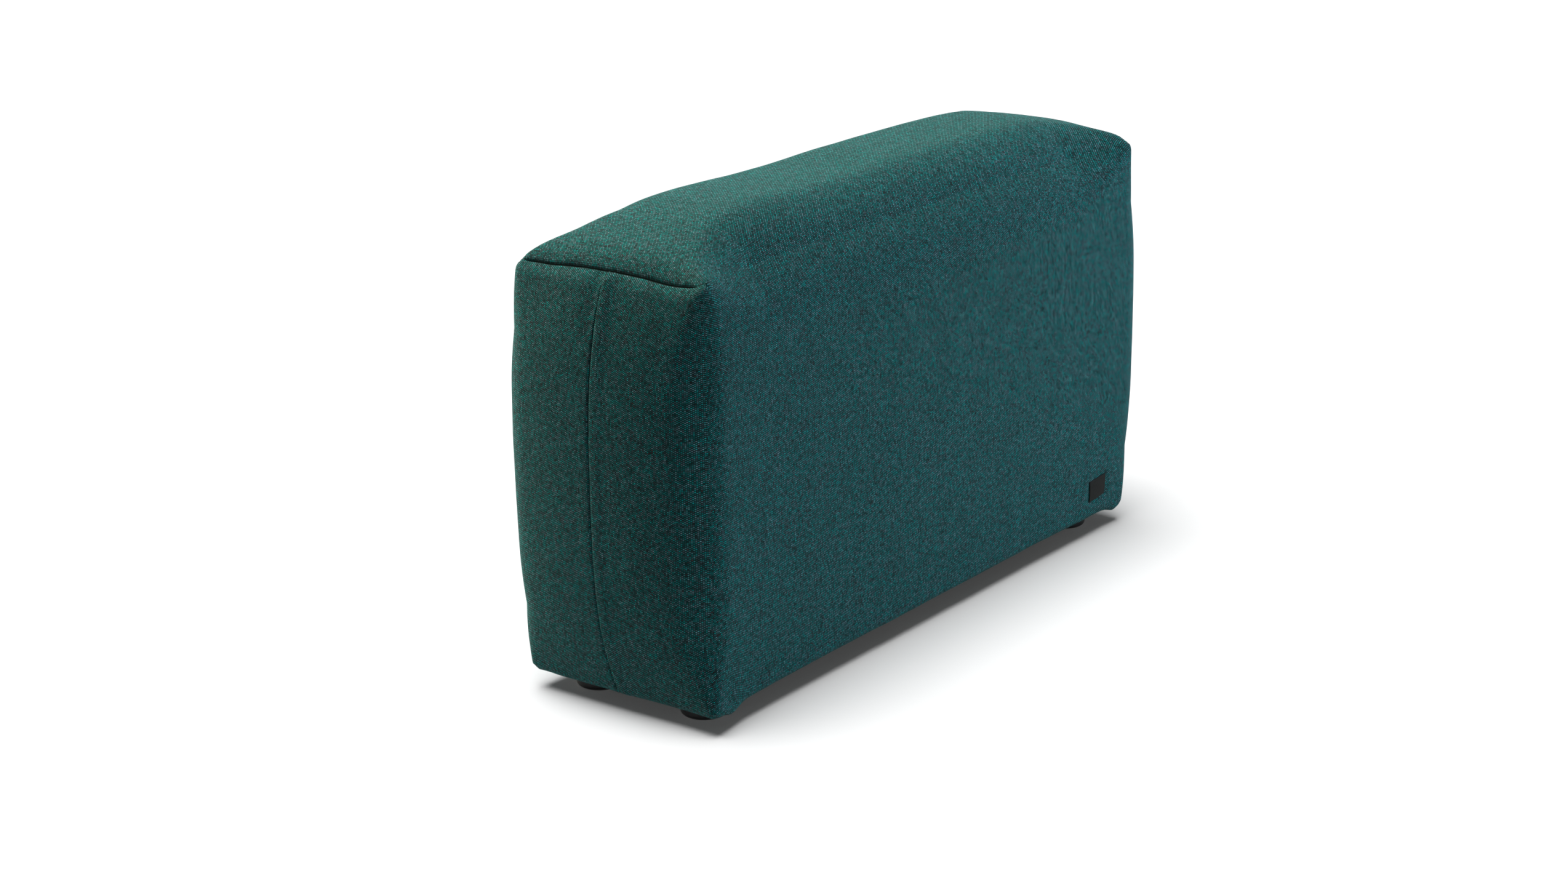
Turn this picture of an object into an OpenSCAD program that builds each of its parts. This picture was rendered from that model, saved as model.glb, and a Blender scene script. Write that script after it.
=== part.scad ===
// Side element of a modular sofa: a fabric slipcover over wadding and foam on a plywood box frame,
// on four screw-in feet, with two swing-out links underneath that hook it to the next element.
// Millimetres. X runs along the length, the front is at -Y, the floor is at Z = 0.

/* [Cover] */
// Distance between the two end seam planes
seam_l = 964; // [900:1:1100]
// Depth of the cut panels, front to back
panel_d = 285; // [270:1:340]
// Height of the end top seams above the floor
seam_h = 560; // [480:1:640]
// Thickness of the cover fabric with its backing
cover_t = 1.6; // [1:0.1:2.5]
// How far the hem hangs below the underside of the frame
hem_over = 9.9; // [8:0.1:14]
// Extra drop of the hem's ears at the ends
ear_drop = 6.5; // [2:0.1:9]
// Length of an ear along the front
ear_l = 62; // [40:1:90]
// Free space between soft pieces and what they lie on
soft_gap = 0.3; // [0.2:0.05:0.5]

/* [Crown] */
// How far each end swells out in its middle
end_fill_mid = 42.9; // [20:0.1:50]
// How far each end swells out along its upright edges
end_fill_edge = 18.7; // [5:0.1:25]
// How far front and back swell out at half length
side_fill_mid = 7.8; // [4:0.1:20]
// How far front and back swell out near the ends
side_fill_end = 18.2; // [10:0.1:25]
// Height of the crown of the top above the end seams
top_crown = 51; // [30:0.1:65]
// Height of the long hump in the top
hump_h = 9.7; // [0:0.1:15]
// Height of the short humps on either side of the middle
short_hump_h = 3; // [0:0.1:6]
// Tilt of the top towards the right
lean_h = 3.1; // [0:0.1:6]
// Second, shorter tilt of the top
short_lean_h = 2.6; // [0:0.1:6]
// How far the four top corners sit below the end top seams
corner_drop = 6.5; // [0:0.1:12]
// Length over which a top corner drops
corner_drop_l = 110; // [60:1:160]
// How much narrower the hem is than the top, on each side
taper_d = 0.8; // [0:0.1:3]

/* [Edges] */
// Radius of the upright corners at half height
corner_r = 41.4; // [25:0.1:55]
// Radius of the long top edges
top_r = 88; // [60:0.5:100]
// Radius along the end top seams
end_top_r = 19.4; // [10:0.1:30]
// Radius of the turned hem
hem_r = 10.5; // [6:0.1:14]
// Radius left where edges meet in a sewn corner
tight_r = 7; // [4:0.1:12]
// Height over which an upright corner tightens towards its ends
corner_fade_l = 90; // [60:1:120]
// Length over which a long top edge tightens towards the end seam
top_fade_l = 120; // [80:1:160]

/* [Padding] */
// Thickness of the wadding
wadding_t = 12; // [6:0.5:20]
// Foam and covers between the end seam plane and the frame
end_foam_t = 82; // [70:1:120]
// Foam and covers between the cut panels and the frame
side_foam_t = 54.5; // [45:0.5:70]
// Foam and covers between the end seams and the top of the frame
top_foam_t = 90; // [60:1:120]

/* [Frame] */
// Thickness of the base board
base_t = 18; // [15:1:24]
// How far the base board stays inside the seam planes
base_in = 6; // [5:0.5:10]
// Thickness of the upright boards and the top board
board_t = 18; // [12:1:24]
// Thickness of the front and back panels
panel_t = 4; // [3:0.5:6]
// Side of the square glue blocks
block_w = 25; // [18:1:35]
// Space left between the glue blocks and the panels
block_end_gap = 4; // [1:1:20]

/* [Underside] */
// Thickness of the underside cloth
cloth_t = 0.8; // [0.5:0.1:1.2]
// Thickness of the hook tape, and of the loop tape
tape_t = 1.2; // [0.8:0.1:1.6]
// Bare edge on each side of the tapes
tape_edge = 1; // [0.5:0.1:2]
// Distance that the tapes stop short of the corners
tape_short = 40; // [20:1:80]

/* [Feet] */
// Height of a foot
foot_h = 34.5; // [28:0.5:45]
// Width of a foot across its top
foot_d = 64; // [50:1:68]
// Width of the sole
sole_d = 54; // [40:1:56]
// Radius of the lower edge of a foot
sole_r = 6; // [3:0.5:8]
// Distance of a foot's axis from the end seam plane
foot_in_x = 62; // [58:1:80]
// Distance of a foot's axis from the front or back panel
foot_in_y = 60; // [56:1:70]
// Space between a foot and the turned-under flange
foot_flange_gap = 4; // [2:0.5:6]
// Depth of the stud in the foot
stud_depth = 20; // [14:1:24]
// Distance that the stud stops below the top of the base board
stud_short = 1; // [0.5:0.1:3]

/* [Fasteners] */
// Diameter of the M8 studs and bolts
thread_d = 8; // [6:0.5:10]
// Running clearance on a radius
run_gap = 0.05; // [0.03:0.01:0.1]
// Diameter of a tee nut's barrel
nut_d = 10.5; // [9:0.1:13]
// Length of a tee nut's barrel
nut_l = 13; // [8:0.5:13]
// Width of a tee nut's flange
nut_flange_d = 22; // [18:0.5:26]
// Thickness of a tee nut's flange
nut_flange_t = 1.6; // [1:0.1:2.5]
// Diameter of a frame screw
screw_d = 4; // [3:0.5:5]
// Length of a frame screw
screw_l = 45; // [35:1:60]
// Width of a frame screw's head
screw_head_d = 8; // [7:0.5:10]
// Clearance round everything that is driven into wood
drive_gap = 0.1; // [0.05:0.01:0.2]
// Width of a staple's crown
staple_w = 10; // [6:0.5:14]
// Thickness of staple wire
staple_wire = 0.8; // [0.6:0.1:1.2]
// Length of a staple's legs
staple_l = 11; // [8:0.5:14]

/* [Links] */
// Distance of a link's pivot from the end seam plane
link_in = 182; // [170:1:220]
// Distance of a link's pivot behind the middle of the frame
link_y = 40; // [30:1:46]
// Width of a link
link_w = 28; // [22:1:34]
// Thickness of a link
link_t = 4; // [3:0.5:5]
// Radius round a link's pivot and hook
link_eye_r = 16; // [14:0.5:20]
// Diameter of the pivot shoulder
pivot_d = 10; // [9:0.5:12]
// Width of the spacer above a link
spacer_d = 20; // [16:1:26]
// Distance from the frame's underside to the top of a link
link_drop = 9.1; // [8:0.1:12]
// Axial play of a link
link_play = 0.2; // [0.1:0.05:0.4]
// Width of a pivot bolt's head
bolt_head_d = 20; // [16:1:26]
// Height of a pivot bolt's head
bolt_head_h = 4; // [3:0.5:6]
// Clearance of the hook on a keeper pin, on a radius
hook_gap = 0.3; // [0.2:0.05:0.6]

/* [Keeper pins] */
// Distance of a keeper pin from the end seam plane
keeper_in = 132; // [120:1:140]
// Distance of a keeper pin from the front or back panel
keeper_in_y = 44.5; // [40:0.5:50]
// Diameter of a keeper pin
keeper_d = 10; // [8:0.5:12]
// Free length of a keeper pin below its collar
keeper_l = 11; // [9:0.5:14]
// Width of the collar
collar_d = 18; // [16:0.5:20]
// Height of the collar
collar_h = 7; // [5:0.5:8]
// Depth of a keeper pin's shank in the base board
shank_l = 14; // [10:0.5:16]
// Space between two elements that stand side by side
element_gap = 3.6; // [0:0.1:10]

/* [Label] */
// Length of the label
label_l = 40; // [30:1:44]
// Height of the label
label_h = 32; // [24:1:34]
// Thickness of the label
label_t = 1.2; // [0.6:0.1:2]
// Space between the label and the cover
label_gap = 0.4; // [0.3:0.05:0.8]
// Turn of the label in its own plane, in degrees
label_turn = 3; // [0:0.5:8]

/* [Hidden] */

fabric_colour = [0.13, 0.30, 0.30];
wadding_colour = [0.93, 0.93, 0.90];
foam_colour = [0.90, 0.84, 0.62];
black_colour = [0.05, 0.05, 0.055];
wood_colour = [0.78, 0.62, 0.42];
hardboard_colour = [0.50, 0.35, 0.22];
steel_colour = [0.70, 0.70, 0.72];

// Levels, from the floor up
base_z = foot_h + soft_gap + cloth_t + soft_gap;
base_top = base_z + base_t;
hem_z = base_z - hem_over;
flange_z = base_z - 2 * tape_t - soft_gap;
frame_top = seam_h - top_foam_t;
link_top = base_z - link_drop;
link_low = link_top - link_t;

// Half sizes of the cut panels and of the frame
half_l = seam_l / 2;
half_d = panel_d / 2;
half_h = (seam_h - hem_z) / 2;
mid_z = (seam_h + hem_z) / 2;
frame_half_l = half_l - end_foam_t;
frame_half_d = half_d - side_foam_t;
board_half_d = frame_half_d - panel_t;

// Powers that shape the crown: how soon a swell dies away towards its edges
belly_power = 3.1;
end_power = 2.5;
side_power = 3.8;
top_power = 4;
ear_power = 10;
fade_power = 0.7;
// Share of the top's crown that is gone at the long edges
edge_loss_share = 0.6;

// Where the mesh lines of the cover run, as shares of its half length, half depth and half height
half_along_shares = [0.25, 0.5, 0.75, 0.91, 0.96, 1];
half_across_shares = [0.38, 0.66, 0.86, 1];
hem_line_share = -0.96;
low_up_shares = [-0.75, -0.35, 0.1, 0.5];
high_up_shares = [0.83, 0.93, 1];
// Two of the level mesh lines follow the top of the base board and the top of the frame
base_line_share = (base_top + soft_gap - mid_z) / half_h;
frame_line_share = (frame_top + soft_gap - mid_z) / half_h;

function mirrored(v) = concat([for (i = [len(v) - 1 : -1 : 0]) -v[i]], [0], v);
along = mirrored(half_along_shares);
across = mirrored(half_across_shares);
up = concat([-1, hem_line_share, base_line_share], low_up_shares, [frame_line_share],
    high_up_shares);
base_line = 2;
nx = len(along) - 1;
ny = len(across) - 1;
nz = len(up) - 1;

// Rounding of an edge between two faces: where a point at distances a and b from them lands
function turn(a, b, r) = min(max(45 * (1 + (a - b) / r), 0), 90);
function first_in(a, b, r) = a < r && b < r ? r * (1 - cos(turn(a, b, r))) - a : 0;
function second_in(a, b, r) = a < r && b < r ? r * (1 - sin(turn(a, b, r))) - b : 0;

// Waves along the top, from one end to the other
function top_wave(p) = -hump_h * cos(180 * p) - lean_h * sin(180 * p)
    + short_hump_h * cos(360 * p) + short_lean_h * sin(360 * p);

// A point a given depth inside the cover, from shares of its half length, half depth and half height
function cover_pt(p, q, s, depth) = let(
        box_l = half_l - depth,
        box_d = half_d - depth,
        box_h = half_h - depth,
        from_end = (1 - abs(p)) * box_l,
        from_side = (1 - abs(q)) * box_d,
        from_top = (1 - s) * box_h,
        from_hem = (1 + s) * box_h,
        upright_r = tight_r + (corner_r - tight_r) * min(min(from_top, from_hem) / corner_fade_l, 1),
        long_r = tight_r + (top_r - tight_r) * pow(min(from_end / top_fade_l, 1), fade_power),
        in_upright_r = max(upright_r - depth, 0),
        in_long_r = max(long_r - depth, 0),
        in_end_r = max(end_top_r - depth, 0),
        in_hem_r = max(hem_r - depth, 0),
        x_in = first_in(from_end, from_side, in_upright_r)
            + first_in(from_end, from_top, in_end_r) + first_in(from_end, from_hem, in_hem_r),
        y_in = second_in(from_end, from_side, in_upright_r)
            + first_in(from_side, from_top, in_long_r) + first_in(from_side, from_hem, in_hem_r),
        z_in = second_in(from_side, from_top, in_long_r) + second_in(from_end, from_top, in_end_r)
            - second_in(from_side, from_hem, in_hem_r) - second_in(from_end, from_hem, in_hem_r),
        belly = 1 - pow(abs(s), belly_power),
        end_fill = end_fill_edge + (end_fill_mid - end_fill_edge) * (1 - pow(abs(q), end_power)),
        side_fill = side_fill_end + (side_fill_mid - side_fill_end) * (1 - pow(abs(p), side_power)),
        crown = pow((1 + s) / 2, top_power) * (top_crown + top_wave(p))
            * (1 - pow(abs(p), top_power)) * (1 - edge_loss_share * pow(abs(q), 3)),
        corner = pow((1 + s) / 2, top_power) * corner_drop * pow(abs(q), top_power)
            * exp(-pow(from_end / corner_drop_l, 2)),
        ear = pow((1 - s) / 2, ear_power) * ear_drop * (1 + cos(180 * min(from_end / ear_l, 1))) / 2
    ) [
        p * (box_l + end_fill * belly) - sign(p) * x_in,
        (q * (box_d + side_fill * belly) - sign(q) * y_in) * (1 + s * taper_d / half_d),
        mid_z + s * box_h - z_in + crown - corner - ear
    ];

// Mesh lines round the walls, in steps along and across, and the points on them
round_ij = concat([for (i = [0 : nx - 1]) [i, 0]], [for (j = [0 : ny - 1]) [nx, j]],
    [for (i = [nx : -1 : 1]) [i, ny]], [for (j = [ny : -1 : 1]) [0, j]]);
n_round = len(round_ij);
function after(m) = (m + 1) % n_round;
function wall_pt(k, m, depth) =
    cover_pt(along[round_ij[m][0]], across[round_ij[m][1]], up[k], depth);

// All points of a skin that lies a given depth inside the cover, from mesh line low upwards;
// its lowest line is level at floor_z where that is given
function skin_pts(depth, low, floor_z) = concat(
    [for (k = [low : nz]) for (m = [0 : n_round - 1])
        let(pt = wall_pt(k, m, depth))
        k == low && !is_undef(floor_z) ? [pt[0], pt[1], floor_z] : pt],
    [for (i = [1 : nx - 1]) for (j = [1 : ny - 1]) cover_pt(along[i], across[j], 1, depth)]);
function skin_size(low) = (nz - low + 1) * n_round + (nx - 1) * (ny - 1);

// Number of a top point in such a list, on the highest round or inside it
function round_no(i, j) = j == 0 ? i : i == nx ? nx + j
    : j == ny ? nx + ny + nx - i : 2 * nx + ny + ny - j;
function on_round(i, j) = i == 0 || i == nx || j == 0 || j == ny;
function top_no(i, j, low) = on_round(i, j) ? (nz - low) * n_round + round_no(i, j)
    : (nz - low + 1) * n_round + (i - 1) * (ny - 1) + j - 1;

// Triangles between two rounds that start at numbers a and b, and those of a whole skin
function band(a, b) = [for (m = [0 : n_round - 1]) each
    [[a + m, b + m, b + after(m)], [a + m, b + after(m), a + after(m)]]];
function top_faces(low) = [for (i = [0 : nx - 1]) for (j = [0 : ny - 1]) each [
    [top_no(i, j, low), top_no(i, j + 1, low), top_no(i + 1, j + 1, low)],
    [top_no(i, j, low), top_no(i + 1, j + 1, low), top_no(i + 1, j, low)]]];
function wall_faces(low) = [for (k = [0 : nz - low - 1]) each
    band(k * n_round, (k + 1) * n_round)];
function skin_faces(low) = concat(wall_faces(low), top_faces(low));
function flipped(faces, start) = [for (f = faces) [for (i = [len(f) - 1 : -1 : 0]) f[i] + start]];

// Turned-under edge of the cover: its inner edge stands clear of the feet
flange_w = min(foot_in_x, foot_in_y) - foot_d / 2 - foot_flange_gap;
function flange_pts(z) = [for (ij = round_ij)
    [along[ij[0]] * (half_l - flange_w), across[ij[1]] * (half_d - flange_w), z]];

module cover() {
    size = skin_size(0);
    inner = size;
    flange_up = 2 * size;
    flange_down = flange_up + n_round;
    color(fabric_colour) polyhedron(
        points = concat(skin_pts(0, 0), skin_pts(cover_t, 0, flange_z),
            flange_pts(flange_z), flange_pts(flange_z - cover_t)),
        faces = concat(skin_faces(0), flipped(skin_faces(0), inner), band(inner, flange_up),
            band(flange_up, flange_down), band(flange_down, 0)),
        convexity = 8);
}

wadding_in = cover_t + soft_gap;
module wadding_wrap() {
    low = base_line;
    inner = skin_size(low);
    color(wadding_colour) polyhedron(
        points = concat(skin_pts(wadding_in, low, base_top + soft_gap),
            skin_pts(wadding_in + wadding_t, low, base_top + soft_gap)),
        faces = concat(skin_faces(low), flipped(skin_faces(low), inner), band(inner, 0)),
        convexity = 8);
}

// The foam before it is cut into pads, and a box given by two of its corners
module foam_block() {
    low = base_line;
    polyhedron(
        points = skin_pts(wadding_in + wadding_t + soft_gap, low, base_top + soft_gap),
        faces = concat(top_faces(low), wall_faces(low), [[for (m = [0 : n_round - 1]) m]]),
        convexity = 4);
}
module slab(low, high) {
    translate(low) cube(high - low);
}
far_x = seam_l;
far_y = panel_d;
far_z = 2 * seam_h;

module top_foam() {
    color(foam_colour) intersection() {
        foam_block();
        slab([-far_x, -far_y, frame_top + soft_gap], [far_x, far_y, far_z]);
    }
}
module front_foam() {
    color(foam_colour) intersection() {
        foam_block();
        slab([-far_x, -far_y, 0], [far_x, -frame_half_d - soft_gap, frame_top]);
    }
}
module back_foam() {
    color(foam_colour) intersection() {
        foam_block();
        slab([-far_x, frame_half_d + soft_gap, 0], [far_x, far_y, frame_top]);
    }
}
module left_end_foam() {
    color(foam_colour) intersection() {
        foam_block();
        slab([-far_x, -frame_half_d, 0], [-frame_half_l - soft_gap, frame_half_d, frame_top]);
    }
}
module right_end_foam() {
    color(foam_colour) intersection() {
        foam_block();
        slab([frame_half_l + soft_gap, -frame_half_d, 0], [far_x, frame_half_d, frame_top]);
    }
}

// The label lies flat on one field of the cover's front, low down near the right end
label_i = nx - 3;
label_k = base_line;
label_along_share = 0.44;
label_up_share = 0.44;
function unit(v) = v / norm(v);
function mix(a, b, t) = a + (b - a) * t;
module label_patch() {
    low_a = wall_pt(label_k, label_i, 0);
    low_b = wall_pt(label_k, label_i + 1, 0);
    high_a = wall_pt(label_k + 1, label_i, 0);
    high_b = wall_pt(label_k + 1, label_i + 1, 0);
    out = unit(cross(high_b - low_a, high_a - low_b));
    middle = mix(mix(low_a, low_b, label_along_share), mix(high_a, high_b, label_along_share),
        label_up_share);
    lean = -asin(out[2]);
    color(black_colour)
        translate(middle + label_gap * out)
        rotate([lean, 0, asin(out[0] / cos(lean))])
        rotate([0, label_turn, 0])
        translate([-label_l / 2, -label_t, -label_h / 2])
        cube([label_l, label_t, label_h]);
}

// Hook tape on the base board and loop tape on the flange: two long strips and two short ones
tape_out = base_in + tape_edge;
tape_w = flange_w - tape_edge - tape_out;
module tapes(z) {
    for (side = [-1, 1]) {
        translate([-half_l + tape_short, side * (half_d - tape_out - tape_w / 2) - tape_w / 2, z])
            cube([seam_l - 2 * tape_short, tape_w, tape_t]);
        translate([side * (half_l - tape_out - tape_w / 2) - tape_w / 2, -half_d + tape_short, z])
            cube([tape_w, panel_d - 2 * tape_short, tape_t]);
    }
}
module hook_tape() {
    color(black_colour) tapes(base_z - tape_t);
}
module loop_tape() {
    color(black_colour) tapes(base_z - 2 * tape_t);
}

// Places that repeat
foot_x = half_l - foot_in_x;
foot_y = half_d - foot_in_y;
foot_places = [for (x = [-foot_x, foot_x]) for (y = [-foot_y, foot_y]) [x, y]];
link_x = half_l - link_in;
link_places = [[-link_x, link_y], [link_x, link_y]];
keeper_x = half_l - keeper_in;
keeper_y = half_d - keeper_in_y;
keeper_places = [for (x = [-keeper_x, keeper_x]) for (y = [-keeper_y, keeper_y]) [x, y]];
board_places = [-frame_half_l + board_t / 2, 0, frame_half_l - board_t / 2];
screw_half_shares = [-0.6, 0.6];
screw_places = [for (x = board_places) for (share = screw_half_shares) [x, share * board_half_d]];

// A staple driven upwards, its crown's underside at z = 0 and along X, with a given clearance
module staple(grow) {
    translate([-staple_w / 2 - grow, -staple_wire / 2 - grow, 0])
        cube([staple_w + 2 * grow, staple_wire + 2 * grow, staple_wire]);
    for (x = [-staple_w / 2, staple_w / 2 - staple_wire])
        translate([x - grow, -staple_wire / 2 - grow, 0])
            cube([staple_wire + 2 * grow, staple_wire + 2 * grow, staple_l + grow]);
}

// Underside cloth and the staples along its edges
cloth_half_l = half_l - flange_w - tape_edge;
cloth_half_d = half_d - flange_w - tape_edge;
cloth_z = base_z - soft_gap - cloth_t;
stud_hole_d = thread_d + 4 * cloth_t;
staple_in = staple_w / 2 + 2 * tape_edge;
staple_long_shares = [-0.72, -0.48, -0.24, 0, 0.24, 0.48, 0.72];
staple_short_shares = [-0.2, 0.2];
module underside_staple_set(grow) {
    for (side = [-1, 1]) {
        for (share = staple_long_shares)
            translate([share * cloth_half_l, side * (cloth_half_d - staple_in),
                    cloth_z - staple_wire])
                staple(grow);
        for (share = staple_short_shares)
            translate([side * (cloth_half_l - staple_in), share * cloth_half_d,
                    cloth_z - staple_wire])
                rotate([0, 0, 90]) staple(grow);
    }
}
module underside_staples() {
    color(steel_colour) underside_staple_set(0);
}
module underside_cloth() {
    color(black_colour) difference() {
        translate([-cloth_half_l, -cloth_half_d, cloth_z])
            cube([2 * cloth_half_l, 2 * cloth_half_d, cloth_t]);
        for (place = foot_places)
            translate([place[0], place[1], 0]) cylinder(d = stud_hole_d, h = base_top, $fn = 48);
        for (place = link_places)
            translate([place[0], place[1], 0])
                cylinder(d = spacer_d + 2 * soft_gap, h = base_top, $fn = 48);
        for (place = keeper_places)
            translate([place[0], place[1], 0])
                cylinder(d = collar_d + 2 * soft_gap, h = base_top, $fn = 48);
        underside_staple_set(drive_gap);
    }
}

// A countersunk screw with its head at z = 0, pointing up
module screw(grow) {
    cylinder(d = screw_d + 2 * grow, h = screw_l + grow, $fn = 32);
    cylinder(d1 = screw_head_d + 2 * grow, d2 = screw_d + 2 * grow,
        h = (screw_head_d - screw_d) / 2, $fn = 32);
}
module screw_set(grow) {
    for (place = screw_places) {
        translate([place[0], place[1], base_z]) screw(grow);
        translate([place[0], place[1], frame_top]) mirror([0, 0, 1]) screw(grow);
    }
}
module frame_screws() {
    color(steel_colour) screw_set(0);
}

// Staples that hold the front and back panels to the three upright boards
panel_staple_shares = [0.15, 0.5, 0.85];
module panel_staple_set(grow) {
    for (x = board_places)
        for (share = panel_staple_shares)
            for (side = [0, 1])
                mirror([0, side, 0])
                    translate([x, -frame_half_d, mix(base_top, frame_top, share)])
                    rotate([-90, 0, 0]) rotate([0, 0, 90]) staple(grow);
}
module panel_staples() {
    color(steel_colour) panel_staple_set(0);
}

// A tee nut with the top of its flange at z = 0, and its hole
module tee_nut() {
    difference() {
        union() {
            translate([0, 0, -nut_flange_t]) cylinder(d = nut_flange_d, h = nut_flange_t, $fn = 48);
            translate([0, 0, -nut_flange_t - nut_l]) cylinder(d = nut_d, h = nut_l, $fn = 48);
        }
        translate([0, 0, -2 * nut_l])
            cylinder(d = thread_d + 2 * run_gap, h = 3 * nut_l, $fn = 48);
    }
}
module tee_nut_hole() {
    translate([0, 0, -nut_flange_t])
        cylinder(d = nut_flange_d + 2 * drive_gap, h = 2 * nut_flange_t, $fn = 48);
    translate([0, 0, -2 * base_t])
        cylinder(d = nut_d + 2 * drive_gap, h = 2 * base_t, $fn = 48);
}
module tee_nuts_at(places) {
    for (place = places) translate([place[0], place[1], base_top]) tee_nut();
}
module foot_t_nuts() {
    color(steel_colour) tee_nuts_at(foot_places);
}
module link_t_nuts() {
    color(steel_colour) tee_nuts_at(link_places);
}

module base_board() {
    color(wood_colour) difference() {
        translate([-half_l + base_in, -half_d + base_in, base_z])
            cube([seam_l - 2 * base_in, panel_d - 2 * base_in, base_t]);
        for (place = concat(foot_places, link_places))
            translate([place[0], place[1], base_top]) tee_nut_hole();
        for (place = keeper_places)
            translate([place[0], place[1], 0])
                cylinder(d = thread_d + 2 * drive_gap, h = base_z + shank_l + drive_gap, $fn = 48);
        screw_set(drive_gap);
        underside_staple_set(drive_gap);
    }
}

// An upright board across the frame, with its middle at x
module upright_board(x) {
    color(wood_colour) difference() {
        translate([x - board_t / 2, -board_half_d, base_top])
            cube([board_t, 2 * board_half_d, frame_top - board_t - base_top]);
        screw_set(drive_gap);
        panel_staple_set(drive_gap);
    }
}
module left_end_board() {
    upright_board(board_places[0]);
}
module centre_rib() {
    upright_board(board_places[1]);
}
module right_end_board() {
    upright_board(board_places[2]);
}
module top_board() {
    color(wood_colour) difference() {
        translate([-frame_half_l, -board_half_d, frame_top - board_t])
            cube([2 * frame_half_l, 2 * board_half_d, board_t]);
        screw_set(drive_gap);
    }
}

// A panel over the edges of the boards, on the front or, mirrored, on the back
module panel() {
    color(hardboard_colour) difference() {
        translate([-frame_half_l, -frame_half_d, base_top])
            cube([2 * frame_half_l, panel_t, frame_top - base_top]);
        panel_staple_set(drive_gap);
    }
}
module front_panel() {
    panel();
}
module back_panel() {
    mirror([0, 1, 0]) panel();
}

// Square glue blocks along the feet of the upright boards, on their inner sides
block_places = [board_places[0] + board_t / 2, -board_t / 2 - block_w, board_t / 2,
    board_places[2] - board_t / 2 - block_w];
module corner_blocks() {
    color(wood_colour) for (x = block_places)
        translate([x, -board_half_d + block_end_gap, base_top])
            cube([block_w, 2 * (board_half_d - block_end_gap), block_w]);
}

// A foot: a round puck that narrows to its sole, with a blind bore for its stud
stud_bore_d = thread_d + 2 * run_gap;
module foot(place) {
    color(black_colour) translate([place[0], place[1], 0]) difference() {
        rotate_extrude($fn = 96) union() {
            polygon([[0, sole_r], [sole_d / 2 + sole_r / 2, sole_r], [foot_d / 2, foot_h],
                [0, foot_h]]);
            square([sole_d / 2 - sole_r / 2, sole_r]);
            translate([sole_d / 2 - sole_r / 2, sole_r]) intersection() {
                circle(r = sole_r, $fn = 48);
                translate([0, -sole_r]) square(sole_r);
            }
        }
        translate([0, 0, foot_h - stud_depth])
            cylinder(d = stud_bore_d, h = 2 * stud_depth, $fn = 48);
    }
}
module stud(place) {
    color(steel_colour) translate([place[0], place[1], foot_h - stud_depth])
        cylinder(d = thread_d, h = base_top - stud_short - foot_h + stud_depth, $fn = 48);
}
module foot_front_left() {
    foot(foot_places[0]);
}
module foot_back_left() {
    foot(foot_places[1]);
}
module foot_front_right() {
    foot(foot_places[2]);
}
module foot_back_right() {
    foot(foot_places[3]);
}
module stud_front_left() {
    stud(foot_places[0]);
}
module stud_back_left() {
    stud(foot_places[1]);
}
module stud_front_right() {
    stud(foot_places[2]);
}
module stud_back_right() {
    stud(foot_places[3]);
}

// A link reaches from its pivot to the keeper pin of the element behind
element_d = panel_d + 2 * side_fill_end;
reach_y = element_d + element_gap - keeper_y - link_y;
reach_x = keeper_x - link_x;
link_l = norm([reach_x, reach_y]);
hook_d = keeper_d + 2 * hook_gap;
module link() {
    color(steel_colour) difference() {
        translate([0, 0, link_low]) union() {
            cylinder(r = link_eye_r, h = link_t, $fn = 64);
            translate([0, -link_w / 2, 0]) cube([link_l, link_w, link_t]);
            translate([link_l, 0, 0]) cylinder(r = link_eye_r, h = link_t, $fn = 64);
        }
        cylinder(d = pivot_d + 2 * run_gap, h = base_z, $fn = 64);
        translate([link_l, 0, 0]) cylinder(d = hook_d, h = base_z, $fn = 64);
        translate([link_l - hook_d / 2, 0, 0]) cube([hook_d, 2 * link_eye_r, base_z]);
    }
}
module link_left() {
    translate([-link_x, link_y, 0]) link();
}
module link_right() {
    mirror([1, 0, 0]) link_left();
}
module link_bolts() {
    color(steel_colour) for (place = link_places) translate([place[0], place[1], 0]) {
        translate([0, 0, link_low - link_play - bolt_head_h])
            cylinder(d = bolt_head_d, h = bolt_head_h, $fn = 64);
        translate([0, 0, link_low - link_play])
            cylinder(d = pivot_d, h = base_z - link_low + link_play, $fn = 64);
        translate([0, 0, base_z]) cylinder(d = thread_d, h = base_t - stud_short, $fn = 48);
    }
}
module link_spacers() {
    color(steel_colour) for (place = link_places) translate([place[0], place[1], 0]) difference() {
        translate([0, 0, link_top + link_play])
            cylinder(d = spacer_d, h = base_z - link_top - link_play, $fn = 64);
        cylinder(d = pivot_d + 2 * run_gap, h = base_top, $fn = 64);
    }
}

// Keeper pins that the links of neighbouring elements hook on
module keeper_pins() {
    color(steel_colour) for (place = keeper_places) translate([place[0], place[1], 0]) {
        translate([0, 0, base_z - collar_h - keeper_l])
            cylinder(d = keeper_d, h = keeper_l, $fn = 64);
        translate([0, 0, base_z - collar_h]) cylinder(d = collar_d, h = collar_h, $fn = 64);
        translate([0, 0, base_z]) cylinder(d = thread_d, h = shank_l, $fn = 48);
    }
}

cover();
wadding_wrap();
top_foam();
front_foam();
back_foam();
left_end_foam();
right_end_foam();
label_patch();
hook_tape();
loop_tape();
underside_cloth();
underside_staples();
base_board();
left_end_board();
right_end_board();
centre_rib();
top_board();
front_panel();
back_panel();
corner_blocks();
frame_screws();
panel_staples();
foot_front_left();
foot_front_right();
foot_back_left();
foot_back_right();
stud_front_left();
stud_front_right();
stud_back_left();
stud_back_right();
foot_t_nuts();
link_left();
link_right();
link_bolts();
link_spacers();
link_t_nuts();
keeper_pins();
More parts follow.
